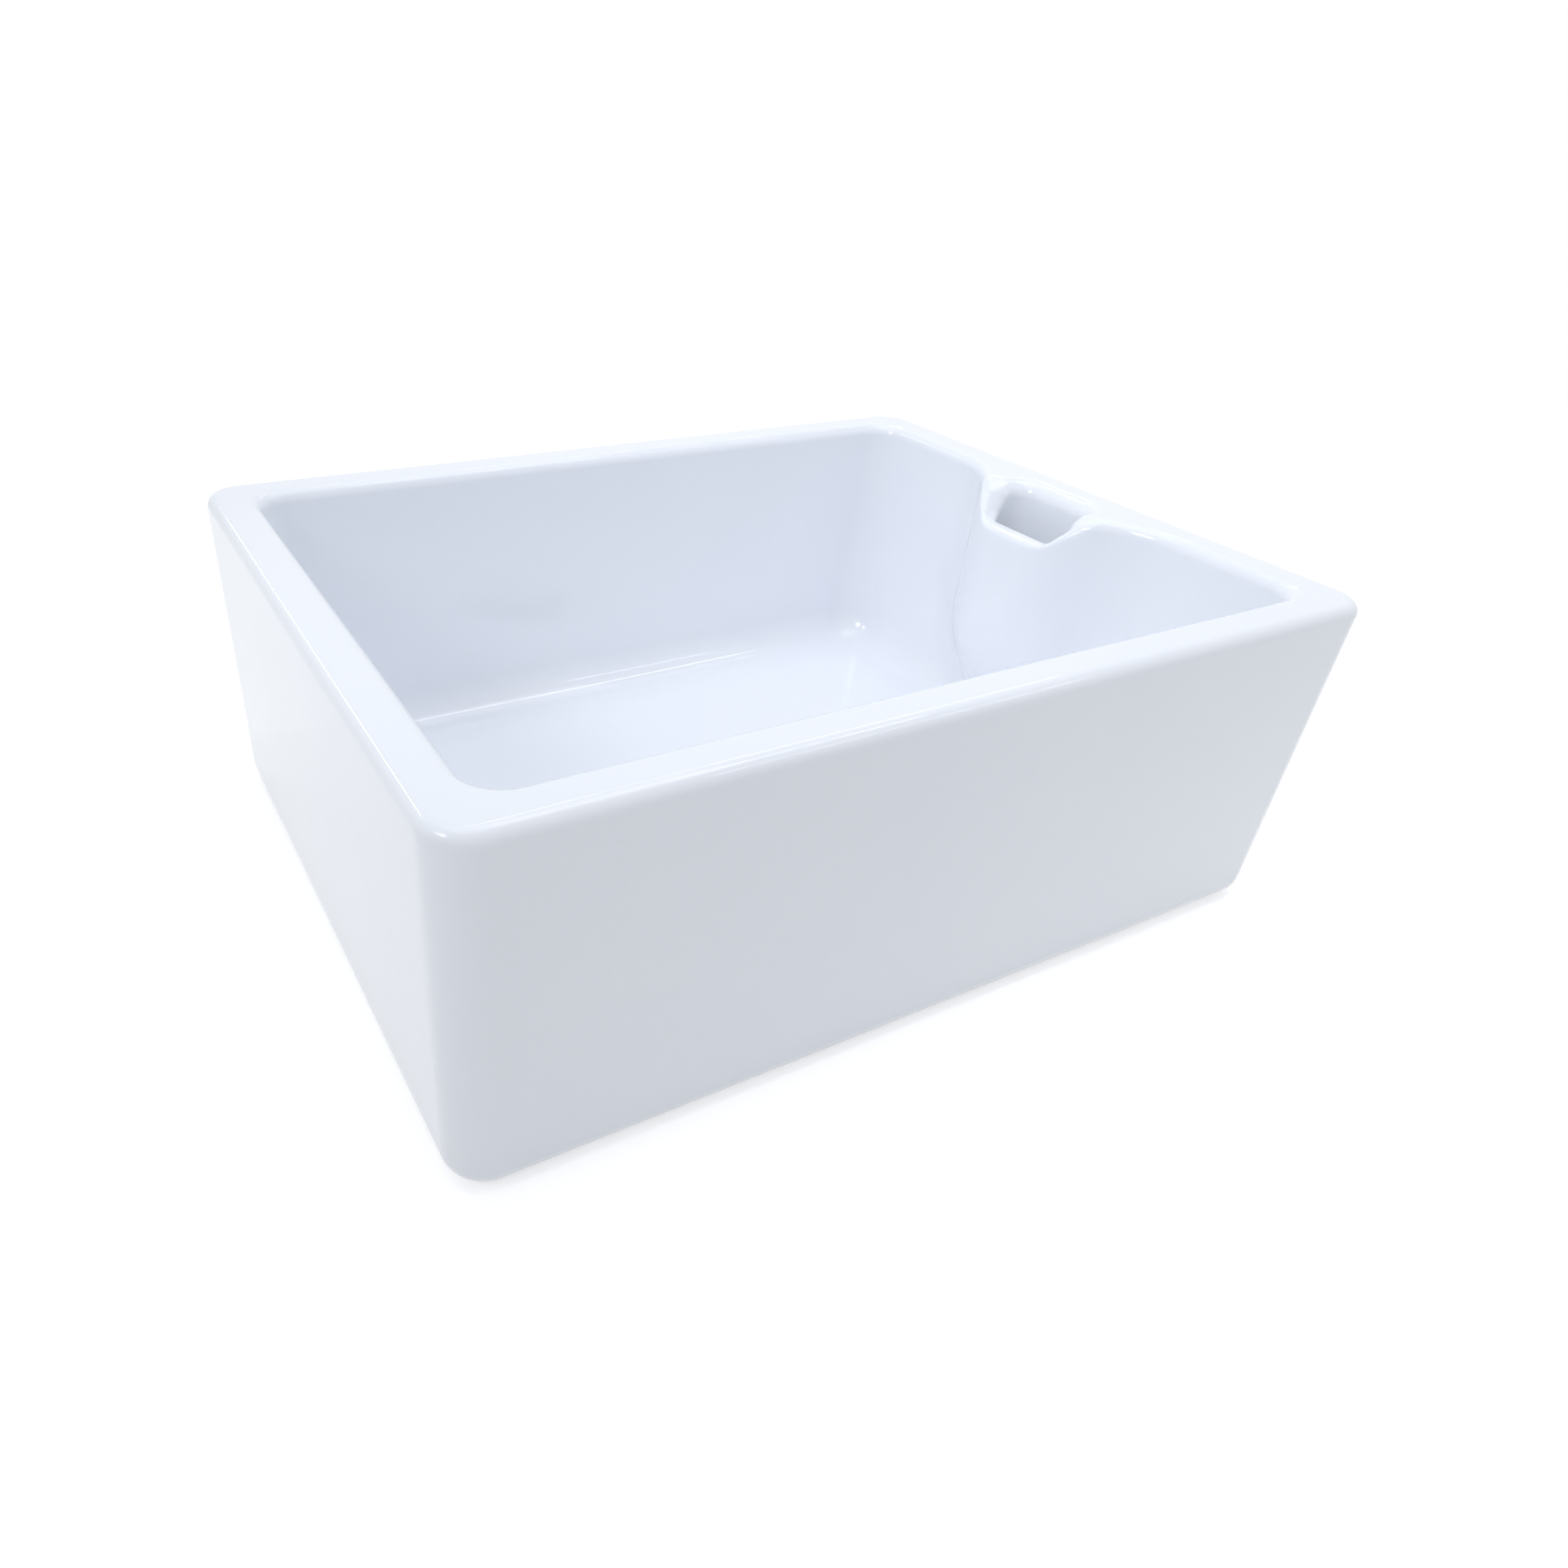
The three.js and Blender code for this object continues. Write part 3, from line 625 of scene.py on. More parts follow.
FIT = 0.3  # clearance between pieces that touch
PAST = 1  # how far a cutter runs past a face
SHEET = 1.2  # pressed stainless steel
CUP_RADIUS = 41.4
CUP_BEND = 4
WELL_RADIUS = 26
SCREW_RADIUS = 4
DRAIN_RADIUS = 4.2
DRAIN_CIRCLE = 16.5
BODY_WALL = 3.5
SPIGOT_BORE = 20
SPIGOT_RADIUS = 23.9
SPIGOT_LENGTH = 30
SPIGOT_PITCH = 2.309
SPIGOT_THREAD_DEPTH = 1.1
SPIGOT_NECK = 5  # plain stretch above the thread
CONE_HEIGHT = 16
BODY_FLANGE_WIDTH = 9
BODY_FLANGE_THICKNESS = 4
BOSS_RADIUS = 9.5
BOSS_LENGTH = 24
RIB_THICKNESS = 3
INSERT_LENGTH = 14
SEAL_RIBS = 4
SEAL_RIB_DEPTH = 0.16
SEAL_ROUNDING = 0.5
SCREW_HEAD_HEIGHT = 4.5
SCREW_PITCH = 1.25
SCREW_THREAD_DEPTH = 0.6
COIN_SLOT_CUT = 30  # longer than the head is wide
COIN_SLOT_WIDTH = 2
COIN_SLOT_DEPTH = 2
POST_RADIUS = 3
POST_PITCH = 1.0
POST_THREAD_DEPTH = 0.5
POST_THREAD_LENGTH = 9
KNOB_WAIST_RADIUS = 5.5
KNOB_FOOT_RADIUS = 7
KNOB_HEAD_SHARE = 0.62  # share of the knob's height at which its head starts
KNOB_GROOVE_DROP = 5.4
STOPPER_RINGS = (12, 20)  # radii of the rings moulded under the stopper
STOPPER_RING_WIDTH = 2.4
STOPPER_RING_DEPTH = 0.35
BASKET_FLOOR_RADIUS = 32.5
BASKET_BEND = 5
BASKET_RIM_WIDTH = 2.6
HOLE_RADIUS = 2.1
HOLE_ROWS = (8.5, 15.5)  # heights of the wall's holes above the basket's floor
FLOOR_RINGS = ((13.5, 8, 5), (22.5, 12, 3))  # radius, holes, half width of a hole's patch in steps


def ring_line(bore, radius, foot, top, rounding):
    """The section of a flat ring with rounded edges."""
    corners = ((bore, foot), (radius, foot), (radius, top), (bore, top))
    return rounded_line([(*corner, rounding) for corner in corners], closed=True, steps=4)


def seal_ring(node, bore):
    """A rubber ring with rounded edges and shallow sealing ribs on both faces."""
    radius, foot, top = node_size(node)
    middle = (foot + top) / 2
    places = refined(ring_line(bore, radius, foot, top, SEAL_ROUNDING), 0.45)
    share = (places[:, 0] - bore) / (radius - bore)
    on_face = np.abs(places[:, 1] - middle) > (top - foot) / 2 - 0.05
    groove = SEAL_RIB_DEPTH * (0.5 - 0.5 * np.cos(2 * math.pi * SEAL_RIBS * share)) * on_face
    places[:, 1] -= np.sign(places[:, 1] - middle) * groove
    return turned(places)


def strainer_cup():
    """The pressed cup with its flange, the stopper's seat and the well with its drain holes."""
    radius, foot, top = node_size("strainer_cup")
    seat = node_size("stopper_retainer")[2]
    line = rounded_line([
        (SCREW_RADIUS + FIT, foot, 0),
        (WELL_RADIUS + SHEET, foot, CUP_BEND),
        (WELL_RADIUS + SHEET, seat - SHEET, SHEET),
        (CUP_RADIUS, seat - SHEET, CUP_BEND),
        (CUP_RADIUS, top - SHEET, CUP_BEND),
        (radius - SHEET, top - SHEET, SHEET),
        (radius - SHEET, top - 2 * SHEET, 0),
    ])
    drains = (along(line, radius=DRAIN_CIRCLE), 8, 0, DRAIN_RADIUS, 7, 4)
    return perforated(line, SHEET, [drains])


def basket_shell():
    """The pressed basket, with rows of holes in its wall and rings of holes in its floor."""
    radius, foot, top = node_size("basket_shell")
    line = rounded_line([
        (POST_RADIUS + FIT, foot, 0),
        (BASKET_FLOOR_RADIUS, foot, BASKET_BEND),
        (radius - BASKET_RIM_WIDTH, top - SHEET, 1.5),
        (radius, top - SHEET, 0),
    ])
    step = AROUND // 16
    rows = [(along(line, height=foot + height), 16, row * step // 2, HOLE_RADIUS, 2, 4)
            for row, height in enumerate(HOLE_ROWS)]
    rows += [(along(line, radius=ring), count, 0, HOLE_RADIUS, half, 3) for ring, count, half in FLOOR_RINGS]
    return perforated(line, SHEET, rows)


def waste_housing():
    """The moulded housing's bowl and threaded spigot."""
    radius, foot, top = node_size("waste_body")
    bore = radius - BODY_FLANGE_WIDTH
    cone_foot = foot + SPIGOT_LENGTH
    cone_top = cone_foot + CONE_HEIGHT
    line = rounded_line([
        (SPIGOT_BORE, foot, 0.6),
        (SPIGOT_RADIUS, foot, 0.8),
        (SPIGOT_RADIUS, cone_foot, 2),
        (bore + BODY_WALL, cone_top, 4),
        (bore + BODY_WALL, top - BODY_FLANGE_THICKNESS, 1.5),
        (radius, top - BODY_FLANGE_THICKNESS, 0.8),
        (radius, top, 0.8),
        (bore, top, 0.6),
        (bore, cone_top + BODY_WALL, 3),
        (SPIGOT_BORE, cone_foot + BODY_WALL, 2),
    ], closed=True, steps=5)
    cut = thread(SPIGOT_PITCH, SPIGOT_THREAD_DEPTH, foot + 0.6, cone_foot - SPIGOT_NECK)

    def spigot(spot):
        return spot[0] > SPIGOT_RADIUS - 2 and spot[1] < cone_foot

    def on_spigot(angle, radius, height):
        outer = (radius > (SPIGOT_BORE + SPIGOT_RADIUS) / 2) & (height < cone_foot)
        return np.where(outer, cut(angle, np.where(outer, radius, 0), height), 0)

    line = refined(refined(line, 2), SPIGOT_PITCH / 8, zone=spigot)
    return turned(line, on_spigot, around=96)


def round_bar(radius, foot, top, chamfer=0.4, relief=None, step=None, around=96):
    """A round bar with chamfered ends, and with steps along it where it has a relief."""
    line = rounded_line([
        (0, foot, 0), (radius - chamfer, foot, 0), (radius, foot + chamfer, 0),
        (radius, top - chamfer, 0), (radius - chamfer, top, 0), (0, top, 0),
    ])
    if step:
        line = refined(line, step, closed=False)
    return turned(line, relief, around=around)


def hexagon_bar(across, foot, top):
    """A plain hexagonal bar, as a cutter."""
    radius = across / math.sqrt(3)
    corners = [(radius * math.cos(k * math.pi / 3), radius * math.sin(k * math.pi / 3)) for k in range(6)]
    vertices = [(*corner, foot) for corner in corners] + [(*corner, top) for corner in corners]
    sides = [(k, (k + 1) % 6, (k + 1) % 6 + 6, k + 6) for k in range(6)]
    return vertices, sides + [tuple(range(5, -1, -1)), tuple(range(6, 12))]


def knob():
    """The knob, with a waist for the fingers and a groove round its head."""
    radius, foot, top = node_size("basket_knob")
    rise = top - foot
    line = refined(rounded_line([
        (0, foot, 0), (KNOB_FOOT_RADIUS, foot, 0.8), (KNOB_WAIST_RADIUS, foot + rise / 3, 4),
        (radius, foot + KNOB_HEAD_SHARE * rise, 2), (radius, top, 4), (0, top, 0),
    ]), 0.5, closed=False)
    half_wide, depth = 0.5, 0.35

    def groove(angle, radius, height):
        away = np.abs(height - (top - KNOB_GROOVE_DROP))
        return depth * np.clip(1 - away / half_wide, 0, 1) * (radius > 2 * half_wide)

    return turned(line, groove, around=72)


def stopper():
    """The rubber disc that closes the well, with a bevelled edge and two moulded rings underneath."""
    radius, foot, top = node_size("basket_stopper")
    lip = (top - foot) / 3
    line = refined(rounded_line([
        (POST_RADIUS + FIT, foot, 0.3), (radius - lip, foot, 0.4), (radius, foot + lip, 0.5),
        (radius, top, 0.5), (POST_RADIUS + FIT, top, 0.3),
    ], closed=True, steps=4), 0.6)
    for ring in STOPPER_RINGS:
        across = (line[:, 0] - ring) / (STOPPER_RING_WIDTH / 2)
        groove = STOPPER_RING_DEPTH * np.clip(1 - across ** 2, 0, 1)
        line[:, 1] += groove * (line[:, 1] < foot + 0.1)
    return turned(line)


def washer(node, bore, rounding=0.4):
    """A flat disc with a hole and rounded edges."""
    radius, foot, top = node_size(node)
    return turned(ring_line(bore, radius, foot, top, rounding))


def screw():
    """A coin-slotted screw with a metric thread."""
    head_radius, foot, top = node_size("clamp_screw")
    head_foot = top - SCREW_HEAD_HEIGHT
    line = refined(rounded_line([
        (0, foot, 0), (SCREW_RADIUS - 1, foot, 0), (SCREW_RADIUS, foot + 1, 0.3),
        (SCREW_RADIUS, head_foot, 0), (head_radius, head_foot, 0.4), (head_radius, top, 2), (0, top, 0),
    ]), 0.2, closed=False)
    cut = thread(SCREW_PITCH, SCREW_THREAD_DEPTH, foot + 0.3, head_foot - 1.5)

    def on_shank(angle, radius, height):
        shank = (height < head_foot - 0.1) & (radius > SCREW_RADIUS - SCREW_THREAD_DEPTH)
        return np.where(shank, cut(angle, np.where(shank, radius, 0), height), 0)

    return turned(line, on_shank, around=72)


# ---------------- materials


def material(name, color, roughness, **sockets):
    """A material, a way to write its node tree, and its shader's sockets, some set to values."""
    made = bpy.data.materials.new(name)
    made.use_nodes = True
    shader = made.node_tree.nodes["Principled BSDF"].inputs
    shader["Base Color"].default_value = (*color, 1)
    shader["Roughness"].default_value = roughness
    for socket, value in sockets.items():
        shader[socket.replace("_", " ")].default_value = value
    return made, Nodes(made.node_tree), shader


class Nodes:
    """A short way to write a node tree."""

    def __init__(self, tree):
        self.tree = tree

    @property
    def position(self):
        """Places on the piece in metres from the origin."""
        return self.add("ShaderNodeTexCoord").outputs["Object"]

    def add(self, kind, **settings):
        node = self.tree.nodes.new(kind)
        for name, value in settings.items():
            setattr(node, name, value)
        return node

    def put(self, value, socket):
        """Sets a socket to a constant, or links it to another node's output."""
        if isinstance(value, bpy.types.NodeSocket):
            self.tree.links.new(value, socket)
        else:
            socket.default_value = value

    def noise(self, size, detail=3.0, roughness=0.5, place=None):
        """Cloudy noise from 0 to 1 with features of one size in millimetres."""
        node = self.add("ShaderNodeTexNoise")
        self.put(self.position if place is None else place, node.inputs["Vector"])
        node.inputs["Scale"].default_value = 1 / (size * MM)
        node.inputs["Detail"].default_value = detail
        node.inputs["Roughness"].default_value = roughness
        return node.outputs["Fac"]

    def rings(self, size):
        """Noise that runs in rings round the Z axis, with features of one size in millimetres across."""
        x, y, z = self.axes()
        squares = self.math("ADD", self.math("MULTIPLY", x, x), self.math("MULTIPLY", y, y))
        both = self.add("ShaderNodeCombineXYZ")
        self.put(self.math("SQRT", squares, 0.0), both.inputs["X"])
        self.put(z, both.inputs["Y"])
        return self.noise(size, detail=2, place=both.outputs[0])

    def cells(self, size):
        """Distance to the nearest of random points that lie one size apart, in shares of that size."""
        node = self.add("ShaderNodeTexVoronoi")
        self.put(self.position, node.inputs["Vector"])
        node.inputs["Scale"].default_value = 1 / (size * MM)
        return node.outputs["Distance"]

    def stretch(self, value, low, high, start=0.0, end=1.0):
        """A value's range from low to high carried over to the range from start to end."""
        node = self.add("ShaderNodeMapRange")
        self.put(value, node.inputs["Value"])
        for socket, limit in (("From Min", low), ("From Max", high), ("To Min", start), ("To Max", end)):
            node.inputs[socket].default_value = limit
        return node.outputs["Result"]

    def math(self, operation, a, b):
        node = self.add("ShaderNodeMath", operation=operation)
        self.put(a, node.inputs[0])
        self.put(b, node.inputs[1])
        return node.outputs[0]

    def mix(self, share, a, b):
        """One colour turned into another."""
        node = self.add("ShaderNodeMix", data_type="RGBA")
        self.put(share, node.inputs["Factor"])
        self.put(a if isinstance(a, bpy.types.NodeSocket) else (*a, 1), node.inputs[6])
        self.put(b if isinstance(b, bpy.types.NodeSocket) else (*b, 1), node.inputs[7])
        return node.outputs[2]

    def axes(self):
        """X, Y and Z from the origin in metres."""
        node = self.add("ShaderNodeSeparateXYZ")
        self.put(self.position, node.inputs[0])
        return [node.outputs[axis] for axis in "XYZ"]

    def bump(self, value, depth, normal=None):
        """A normal that stands for relief of one depth in millimetres."""
        node = self.add("ShaderNodeBump")
        node.inputs["Strength"].default_value = 1.0
        node.inputs["Distance"].default_value = depth * MM
        self.put(value, node.inputs["Height"])
        if normal is not None:
            self.put(normal, node.inputs["Normal"])
        return node.outputs["Normal"]


def glazed_fireclay():
    """White glaze, gloss, with a faint orange peel, faint clouds and specks, and an unglazed underside."""
    glaze_foot = (2.6 * MM, 2.2 * MM)  # where the glaze thins out and ends, before its ragged edge
    made, nodes, shader = material("white_glaze", (1, 1, 1), 0.05)
    clouds = nodes.stretch(nodes.noise(160, detail=2), 0.3, 0.7)
    color = nodes.mix(clouds, (0.918, 0.938, 0.988), (0.930, 0.948, 0.992))
    specks = nodes.stretch(nodes.cells(14), 0.035, 0.02)
    color = nodes.mix(nodes.math("MULTIPLY", specks, 0.25), color, (0.62, 0.58, 0.52))
    ragged = nodes.math("MULTIPLY", nodes.noise(9), 2.5 * MM)
    bare = nodes.stretch(nodes.math("ADD", nodes.axes()[2], ragged), *glaze_foot)
    clay = nodes.mix(nodes.noise(3), (0.70, 0.66, 0.58), (0.78, 0.74, 0.66))
    nodes.put(nodes.mix(bare, color, clay), shader["Base Color"])
    gloss = nodes.stretch(nodes.noise(60, detail=4), 0.3, 0.7, 0.03, 0.06)
    rough = nodes.add("ShaderNodeMix")
    nodes.put(bare, rough.inputs[0])
    nodes.put(gloss, rough.inputs[2])
    rough.inputs[3].default_value = 0.9
    nodes.put(rough.outputs[0], shader["Roughness"])
    peel = nodes.bump(nodes.noise(26, detail=1), 0.05)
    peel = nodes.bump(nodes.noise(5, detail=2), 0.0035, peel)
    nodes.put(peel, shader["Normal"])
    return made


def steel(name, roughness, marks):
    """Stainless steel with fine marks that run round the outlet's axis."""
    made, nodes, shader = material(name, (1, 1, 1), roughness, Metallic=1.0, Anisotropic=0.45)
    rings = nodes.rings(0.25)
    smudges = nodes.stretch(nodes.noise(18, detail=3), 0.35, 0.7)
    nodes.put(nodes.mix(smudges, (0.60, 0.60, 0.615), (0.68, 0.68, 0.69)), shader["Base Color"])
    both = nodes.math("ADD", nodes.math("MULTIPLY", rings, 0.12), nodes.math("MULTIPLY", smudges, 0.08))
    nodes.put(nodes.math("ADD", both, roughness - 0.06), shader["Roughness"])
    nodes.put(nodes.bump(rings, marks), shader["Normal"])
    tangent = nodes.add("ShaderNodeTangent", direction_type="RADIAL", axis="Z")
    nodes.put(tangent.outputs[0], shader["Tangent"])
    return made


def rubber():
    """Black moulded rubber, matt, with a faint grey bloom."""
    made, nodes, shader = material("black_rubber", (0.03, 0.03, 0.032), 0.7, Specular_IOR_Level=0.35)
    bloom = nodes.stretch(nodes.noise(7, detail=4), 0.4, 0.75)
    nodes.put(nodes.mix(bloom, (0.022, 0.022, 0.024), (0.050, 0.050, 0.052)), shader["Base Color"])
    nodes.put(nodes.stretch(bloom, 0, 1, 0.58, 0.82), shader["Roughness"])
    nodes.put(nodes.bump(nodes.noise(0.35, detail=2), 0.02), shader["Normal"])
    return made


def moulded_plastic():
    """White polypropylene with a fine spark-eroded grain and faint flow marks."""
    made, nodes, shader = material("white_plastic", (0.82, 0.82, 0.8), 0.4)
    flow = nodes.stretch(nodes.noise(30, detail=2), 0.35, 0.7)
    nodes.put(nodes.mix(flow, (0.80, 0.80, 0.775), (0.84, 0.84, 0.825)), shader["Base Color"])
    nodes.put(nodes.stretch(flow, 0, 1, 0.36, 0.46), shader["Roughness"])
    grain = nodes.bump(nodes.noise(0.5, detail=2), 0.015)
    nodes.put(nodes.bump(flow, 0.06, grain), shader["Normal"])
    return made


def turned_brass():
    """Brass as it leaves the lathe, dulled in patches."""
    made, nodes, shader = material("turned_brass", (0.72, 0.55, 0.28), 0.35, Metallic=1.0)
    tarnish = nodes.stretch(nodes.noise(4, detail=4), 0.45, 0.7)
    nodes.put(nodes.mix(tarnish, (0.74, 0.56, 0.28), (0.50, 0.36, 0.17)), shader["Base Color"])
    nodes.put(nodes.stretch(tarnish, 0, 1, 0.28, 0.5), shader["Roughness"])
    nodes.put(nodes.bump(nodes.rings(0.3), 0.012), shader["Normal"])
    return made


glaze = glazed_fireclay()
satin_steel = steel("satin_steel", 0.27, 0.004)
polished_steel = steel("polished_steel", 0.14, 0.0015)
black_rubber = rubber()
white_plastic = moulded_plastic()
brass = turned_brass()

# ---------------- the casting

margin = 3  # round the casting
fine = 2  # steps between grid lines
middling = 3
walls = 3.5
coarse = 5
edge_zone = 46  # from an outer face in past the wall, its corners and its fillet
outlet_zone = 70  # half the width round the outlet
weir_zone = 96  # half the width of the boss with its roots
weir_start = WEIR_FACE_X - 13
floor_top = 36  # heights where the steps change
fillet_top = 60
notch_foot = 186
x_lines = spaced(
    (-HALF_LENGTH - margin, -HALF_LENGTH + edge_zone, fine),
    (-HALF_LENGTH + edge_zone, -outlet_zone, coarse),
    (-outlet_zone, outlet_zone, fine),
    (outlet_zone, weir_start, coarse),
    (weir_start, HALF_LENGTH + margin, fine),
)
y_lines = spaced(
    (-HALF_DEPTH - margin, -HALF_DEPTH + edge_zone, fine),
    (-HALF_DEPTH + edge_zone, -weir_zone, coarse),
    (-weir_zone, weir_zone, fine),
    (weir_zone, HALF_DEPTH - edge_zone, coarse),
    (HALF_DEPTH - edge_zone, HALF_DEPTH + margin, fine),
)
z_lines = spaced(
    (-margin, floor_top, fine),
    (floor_top, fillet_top, middling),
    (fillet_top, notch_foot, walls),
    (notch_foot, HEIGHT + margin, fine),
)
vertices, quads = field_mesh(casting_field, x_lines, y_lines, z_lines)
slopes = slope_of(casting_field, vertices, reach=0.3)
normals = slopes / np.linalg.norm(slopes, axis=1, keepdims=True)
mesh = bpy.data.meshes.new("glazed_sink")
mesh.from_pydata((vertices * MM).tolist(), [], quads.tolist())
mesh.validate()
mesh.shade_smooth()
mesh.normals_split_custom_set_from_vertices(normals.tolist())
casting = added("glazed_sink", mesh)
placed(casting, "sink", "sink_body", glaze)

# ---------------- the waste

boss_top = node_size("screw_insert")[2] + FIT
boss = round_bar(BOSS_RADIUS, boss_top - BOSS_LENGTH, boss_top, chamfer=0.8)
rib_reach = SPIGOT_BORE + BODY_WALL / 2
rib_height = BOSS_LENGTH - SHEET
rib_middle = boss_top - BOSS_LENGTH / 2
ribs = [
    block(2 * rib_reach, RIB_THICKNESS, rib_height, (0, 0, rib_middle)),
    block(RIB_THICKNESS, 2 * rib_reach, rib_height, (0, 0, rib_middle)),
]
insert_across = 2 * node_size("screw_insert")[0] * math.cos(math.pi / 6)
pocket_foot = boss_top - INSERT_LENGTH - 2 * FIT
pocket = hexagon_bar(insert_across + 2 * FIT, pocket_foot, boss_top + PAST)
way_foot = boss_top - BOSS_LENGTH - 5  # well below the boss
screw_way = round_bar(SCREW_RADIUS + FIT, way_foot, pocket_foot + PAST)
fitting("waste_housing", waste_housing(), "sink", "waste_body", white_plastic,
        joins=[boss, *ribs], cuts=[pocket, screw_way])
fitting("cup", strainer_cup(), "sink", "strainer_cup", satin_steel)
seal_bore = node_size("waste_body")[0] - BODY_FLANGE_WIDTH
fitting("upper_seal", seal_ring("flange_seal", seal_bore), "sink", "flange_seal", black_rubber)
fitting("under_seal", seal_ring("lower_seal", seal_bore), "sink", "lower_seal", black_rubber)
insert_foot, insert_top = node_size("screw_insert")[1:]
fitting("threaded_insert", hexagon_nut(insert_across, insert_foot, insert_top, SCREW_RADIUS + FIT),
        "sink", "screw_insert", brass)
head_top = node_size("clamp_screw")[2]
coin_slot = block(COIN_SLOT_CUT, COIN_SLOT_WIDTH, 2 * COIN_SLOT_DEPTH, (0, 0, head_top), rounding=0.2)
fitting("coin_screw", screw(), "sink", "clamp_screw", polished_steel, cuts=[coin_slot])

fitting("perforated_basket", basket_shell(), "basket", "basket_shell", satin_steel)
fitting("rubber_stopper", stopper(), "basket", "basket_stopper", black_rubber)
fitting("retaining_disc", washer("stopper_retainer", POST_RADIUS + FIT), "basket",
        "stopper_retainer", satin_steel)
nut_low, nut_high = box_of("post_nut")
fitting("hexagon_nut", hexagon_nut(nut_high[1] - nut_low[1], nut_low[2], nut_high[2], POST_RADIUS + FIT),
        "basket", "post_nut", polished_steel)
post_foot, post_top = node_size("basket_post")[1:]
post_thread = thread(POST_PITCH, POST_THREAD_DEPTH, post_foot + 0.5, post_foot + POST_THREAD_LENGTH)
fitting("post", round_bar(POST_RADIUS, post_foot, post_top, relief=post_thread, step=0.2, around=64),
        "basket", "basket_post", polished_steel)
fitting("knob", knob(), "basket", "basket_knob", polished_steel)

# ---------------- stage

# The camera is fitted to the sink's own straight edges. The first three are pixels of the photograph.
PHOTO_SIZE = 1932
FOCAL_PIXELS = 1341.5
PRINCIPAL_POINT = (777.8, 1027.6)
CAMERA_PLACE = Vector((-0.3967, -0.5498, 0.4632))
CAMERA_AZIMUTH = math.radians(29.96)
CAMERA_ELEVATION = math.radians(35.2)
CAMERA_ROLL = math.radians(3.0)

FLOOR_REACH = 2.3
FLOOR_OPENING = 0.1
FLOOR_GAP = 0.0003
CEILING = 1.82
COOL_WHITE = (0.92, 0.955, 1.0)  # of the lamps and of the backdrop's light
FLOOR_COLOR = (0.96, 0.945, 0.93)  # looks white in that light

camera_data = bpy.data.cameras.new("camera")
camera = added("camera", camera_data)
forward = Vector((
    math.sin(CAMERA_AZIMUTH) * math.cos(CAMERA_ELEVATION),
    math.cos(CAMERA_AZIMUTH) * math.cos(CAMERA_ELEVATION),
    -math.sin(CAMERA_ELEVATION),
))
level = Vector((math.cos(CAMERA_AZIMUTH), -math.sin(CAMERA_AZIMUTH), 0))
upright = level.cross(forward)
right = level * math.cos(CAMERA_ROLL) + upright * math.sin(CAMERA_ROLL)
up = upright * math.cos(CAMERA_ROLL) - level * math.sin(CAMERA_ROLL)
turn = Matrix((right, up, -forward)).transposed().to_4x4()
camera.matrix_world = Matrix.Translation(CAMERA_PLACE) @ turn
camera_data.sensor_width = 36
camera_data.lens = FOCAL_PIXELS / PHOTO_SIZE * camera_data.sensor_width
camera_data.shift_x = 0.5 - PRINCIPAL_POINT[0] / PHOTO_SIZE
camera_data.shift_y = PRINCIPAL_POINT[1] / PHOTO_SIZE - 0.5
camera_data.clip_start = 0.01
bpy.context.scene.camera = camera


def stage_floor():
    """A pale floor at the level of the underside, open below the outlet, where the waste hangs."""
    sides = 96
    turns = [2 * math.pi * k / sides for k in range(sides)]
    reaches = (FLOOR_OPENING, FLOOR_REACH)
    corners = [(reach * math.cos(turn), reach * math.sin(turn), 0) for turn in turns for reach in reaches]
    following = [2 * ((k + 1) % sides) for k in range(sides)]
    faces = [(2 * k, 2 * k + 1, after + 1, after) for k, after in enumerate(following)]
    data = bpy.data.meshes.new("floor")
    data.from_pydata(corners, [], faces)
    floor = added("floor", data)
    floor.location.z = -FLOOR_GAP
    return floor


def seen_directly(nodes):
    """1 for rays from the camera, a mirror or glass, and 0 for those that carry soft light."""
    path = nodes.add("ShaderNodeLightPath").outputs
    share = nodes.math("MAXIMUM", path["Is Camera Ray"], path["Is Glossy Ray"])
    return nodes.math("MAXIMUM", share, path["Is Transmission Ray"])


def floor_paint(glow):
    """Pale paint that looks white, with the sink's shadow still on it."""
    made = bpy.data.materials.new("floor_paint")
    made.use_nodes = True
    made.node_tree.nodes.clear()
    nodes = Nodes(made.node_tree)
    out = nodes.add("ShaderNodeOutputMaterial")
    both = nodes.add("ShaderNodeAddShader")
    matt = nodes.add("ShaderNodeBsdfDiffuse")
    light = nodes.add("ShaderNodeEmission")
    nodes.put((*FLOOR_COLOR, 1), matt.inputs["Color"])
    nodes.put(nodes.math("MULTIPLY", seen_directly(nodes), glow), light.inputs["Strength"])
    nodes.put(matt.outputs[0], both.inputs[0])
    nodes.put(light.outputs[0], both.inputs[1])
    nodes.put(both.outputs[0], out.inputs["Surface"])
    return made


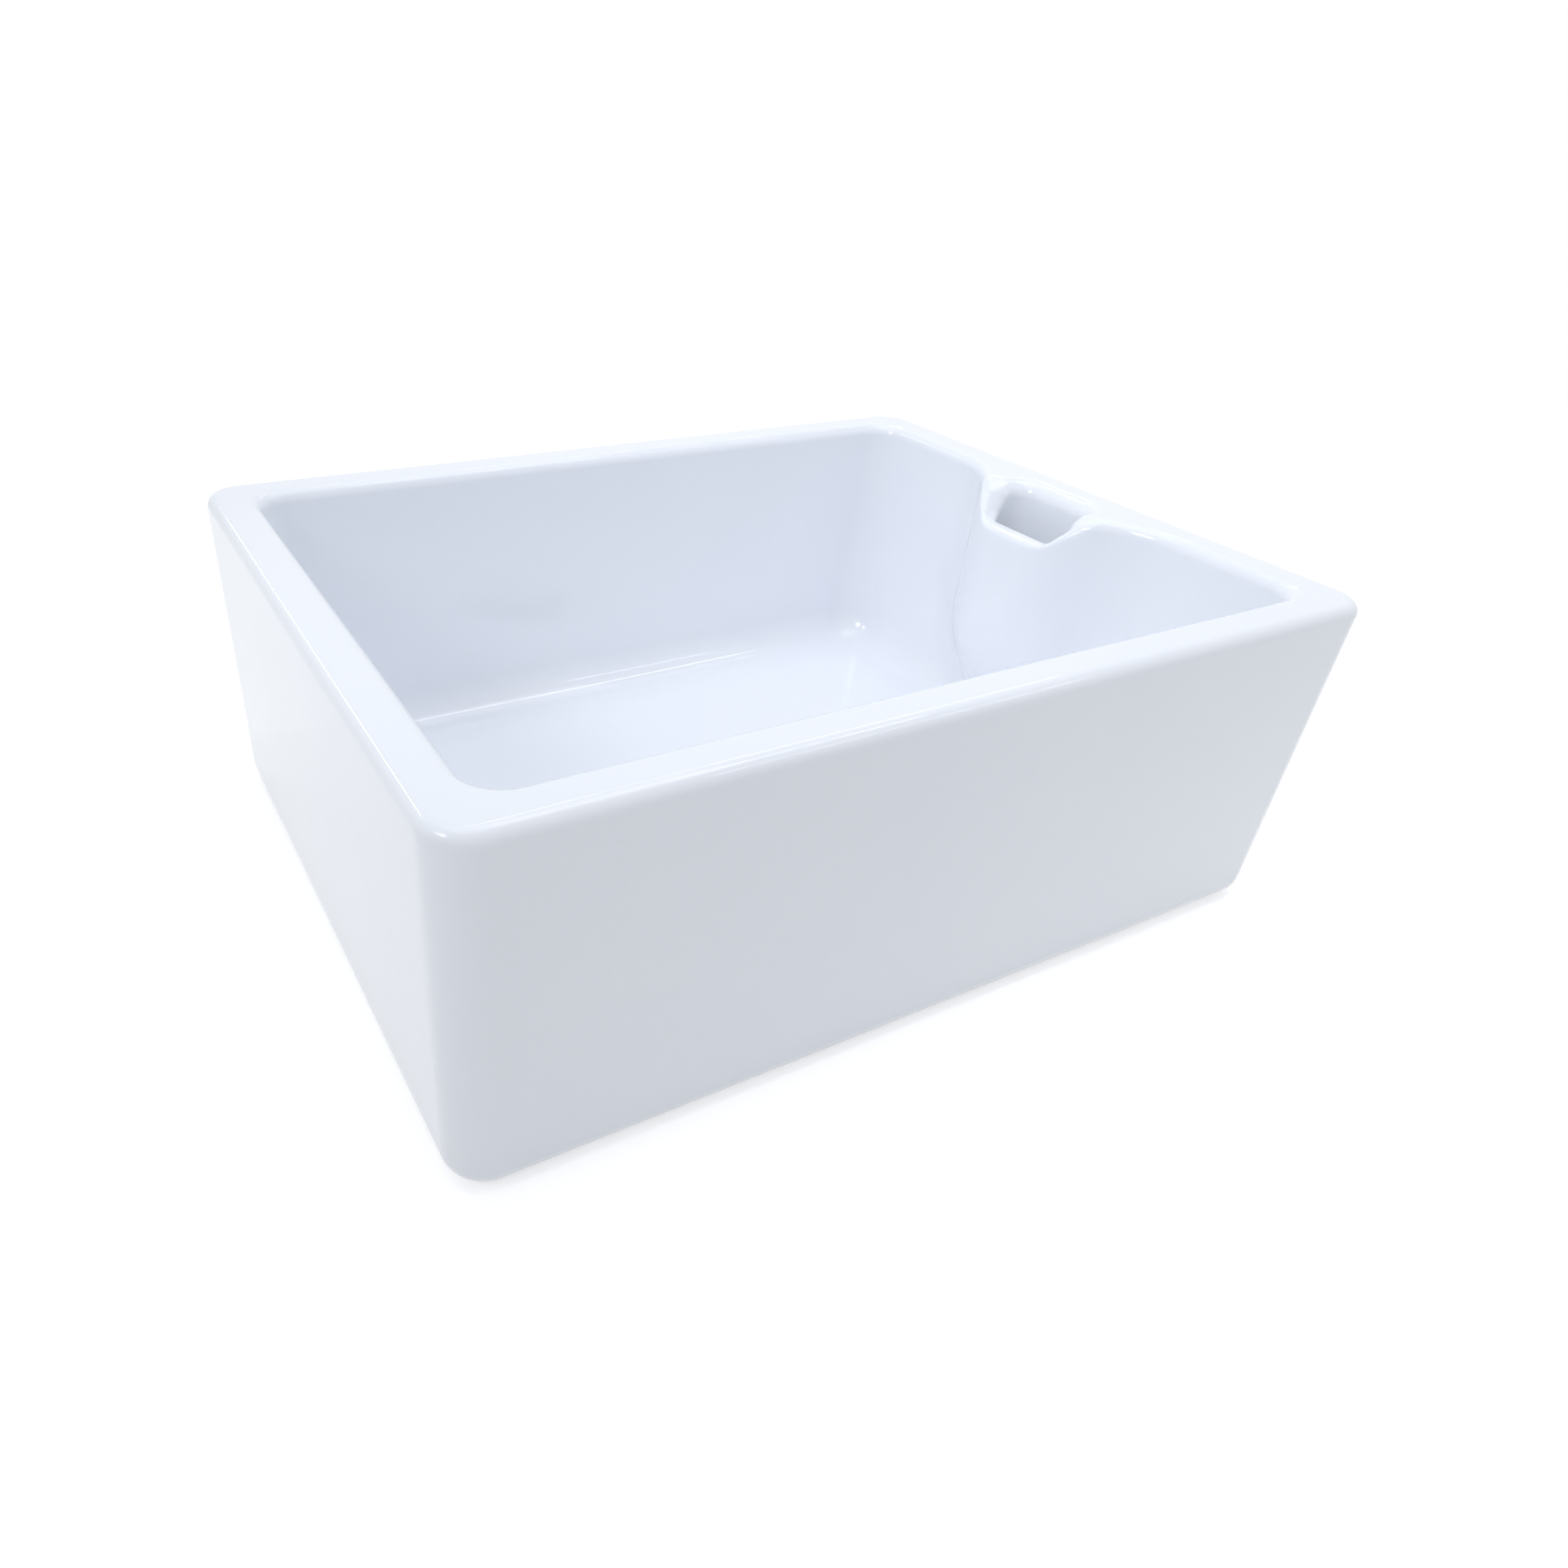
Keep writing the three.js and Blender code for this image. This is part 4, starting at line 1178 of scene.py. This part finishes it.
def studio_world(strength):
    """A white backdrop that gives a weaker, slightly cool light of its own."""
    world = bpy.data.worlds.new("studio")
    world.use_nodes = True
    nodes = Nodes(world.node_tree)
    background = world.node_tree.nodes["Background"]
    seen = seen_directly(nodes)
    nodes.put(nodes.mix(seen, COOL_WHITE, (1, 1, 1)), background.inputs["Color"])
    nodes.put(nodes.stretch(seen, 0, 1, strength, 1), background.inputs["Strength"])
    bpy.context.scene.world = world


def lamp(name, place, size, radiance):
    """A flat rectangular lamp that faces down until it is turned, equally bright all over."""
    data = bpy.data.lights.new(name, "AREA")
    data.shape = "RECTANGLE"
    data.size, data.size_y = size
    data.energy = radiance * math.pi * size[0] * size[1]
    data.color = COOL_WHITE
    made = added(name, data)
    made.location = place
    made.visible_camera = False
    return made


def strip(name, start, end, width, radiance):
    """A long lamp under the ceiling, from one place to another."""
    start, end = Vector((*start, CEILING)), Vector((*end, CEILING))
    made = lamp(name, (start + end) / 2, ((end - start).length, width), radiance)
    made.rotation_euler.z = math.atan2(end.y - start.y, end.x - start.x)


def softbox(name, place, aim, size, radiance, spread):
    """A lamp that faces one place and lights little beside it."""
    made = lamp(name, place, size, radiance)
    made.data.spread = spread
    made.rotation_euler = (Vector(aim) - Vector(place)).to_track_quat("-Z", "Y").to_euler()


floor = stage_floor()
floor.data.materials.append(floor_paint(glow=0.40))
studio_world(strength=0.55)

# The tubes give the glaze the fine bright lines along its edges. The panel and softbox light the bowl.
for tube, start, end, width in (
    ("tube_a", (0.14, 1.08), (0.75, 1.50), 0.06),
    ("tube_b", (0.75, 1.50), (2.60, 1.60), 0.06),
    ("tube_c", (0.20, -0.1), (1.30, -0.1), 0.07),
    ("tube_d", (0.94, -1.4), (2.10, -1.1), 0.08),
    ("tube_e", (-1.33, 2.0), (-1.25, 5.0), 0.15),
):
    strip(tube, start, end, width, radiance=10)
strip("panel", (-0.8, 0.1), (0.8, 0.1), width=1.2, radiance=1.2)
softbox("weir_end", place=(-1.1, -0.2, 1.15), aim=(0.25, 0, 0.14), size=(0.5, 0.5),
        radiance=0.48, spread=math.radians(40))

bpy.context.scene.view_settings.view_transform = "Standard"
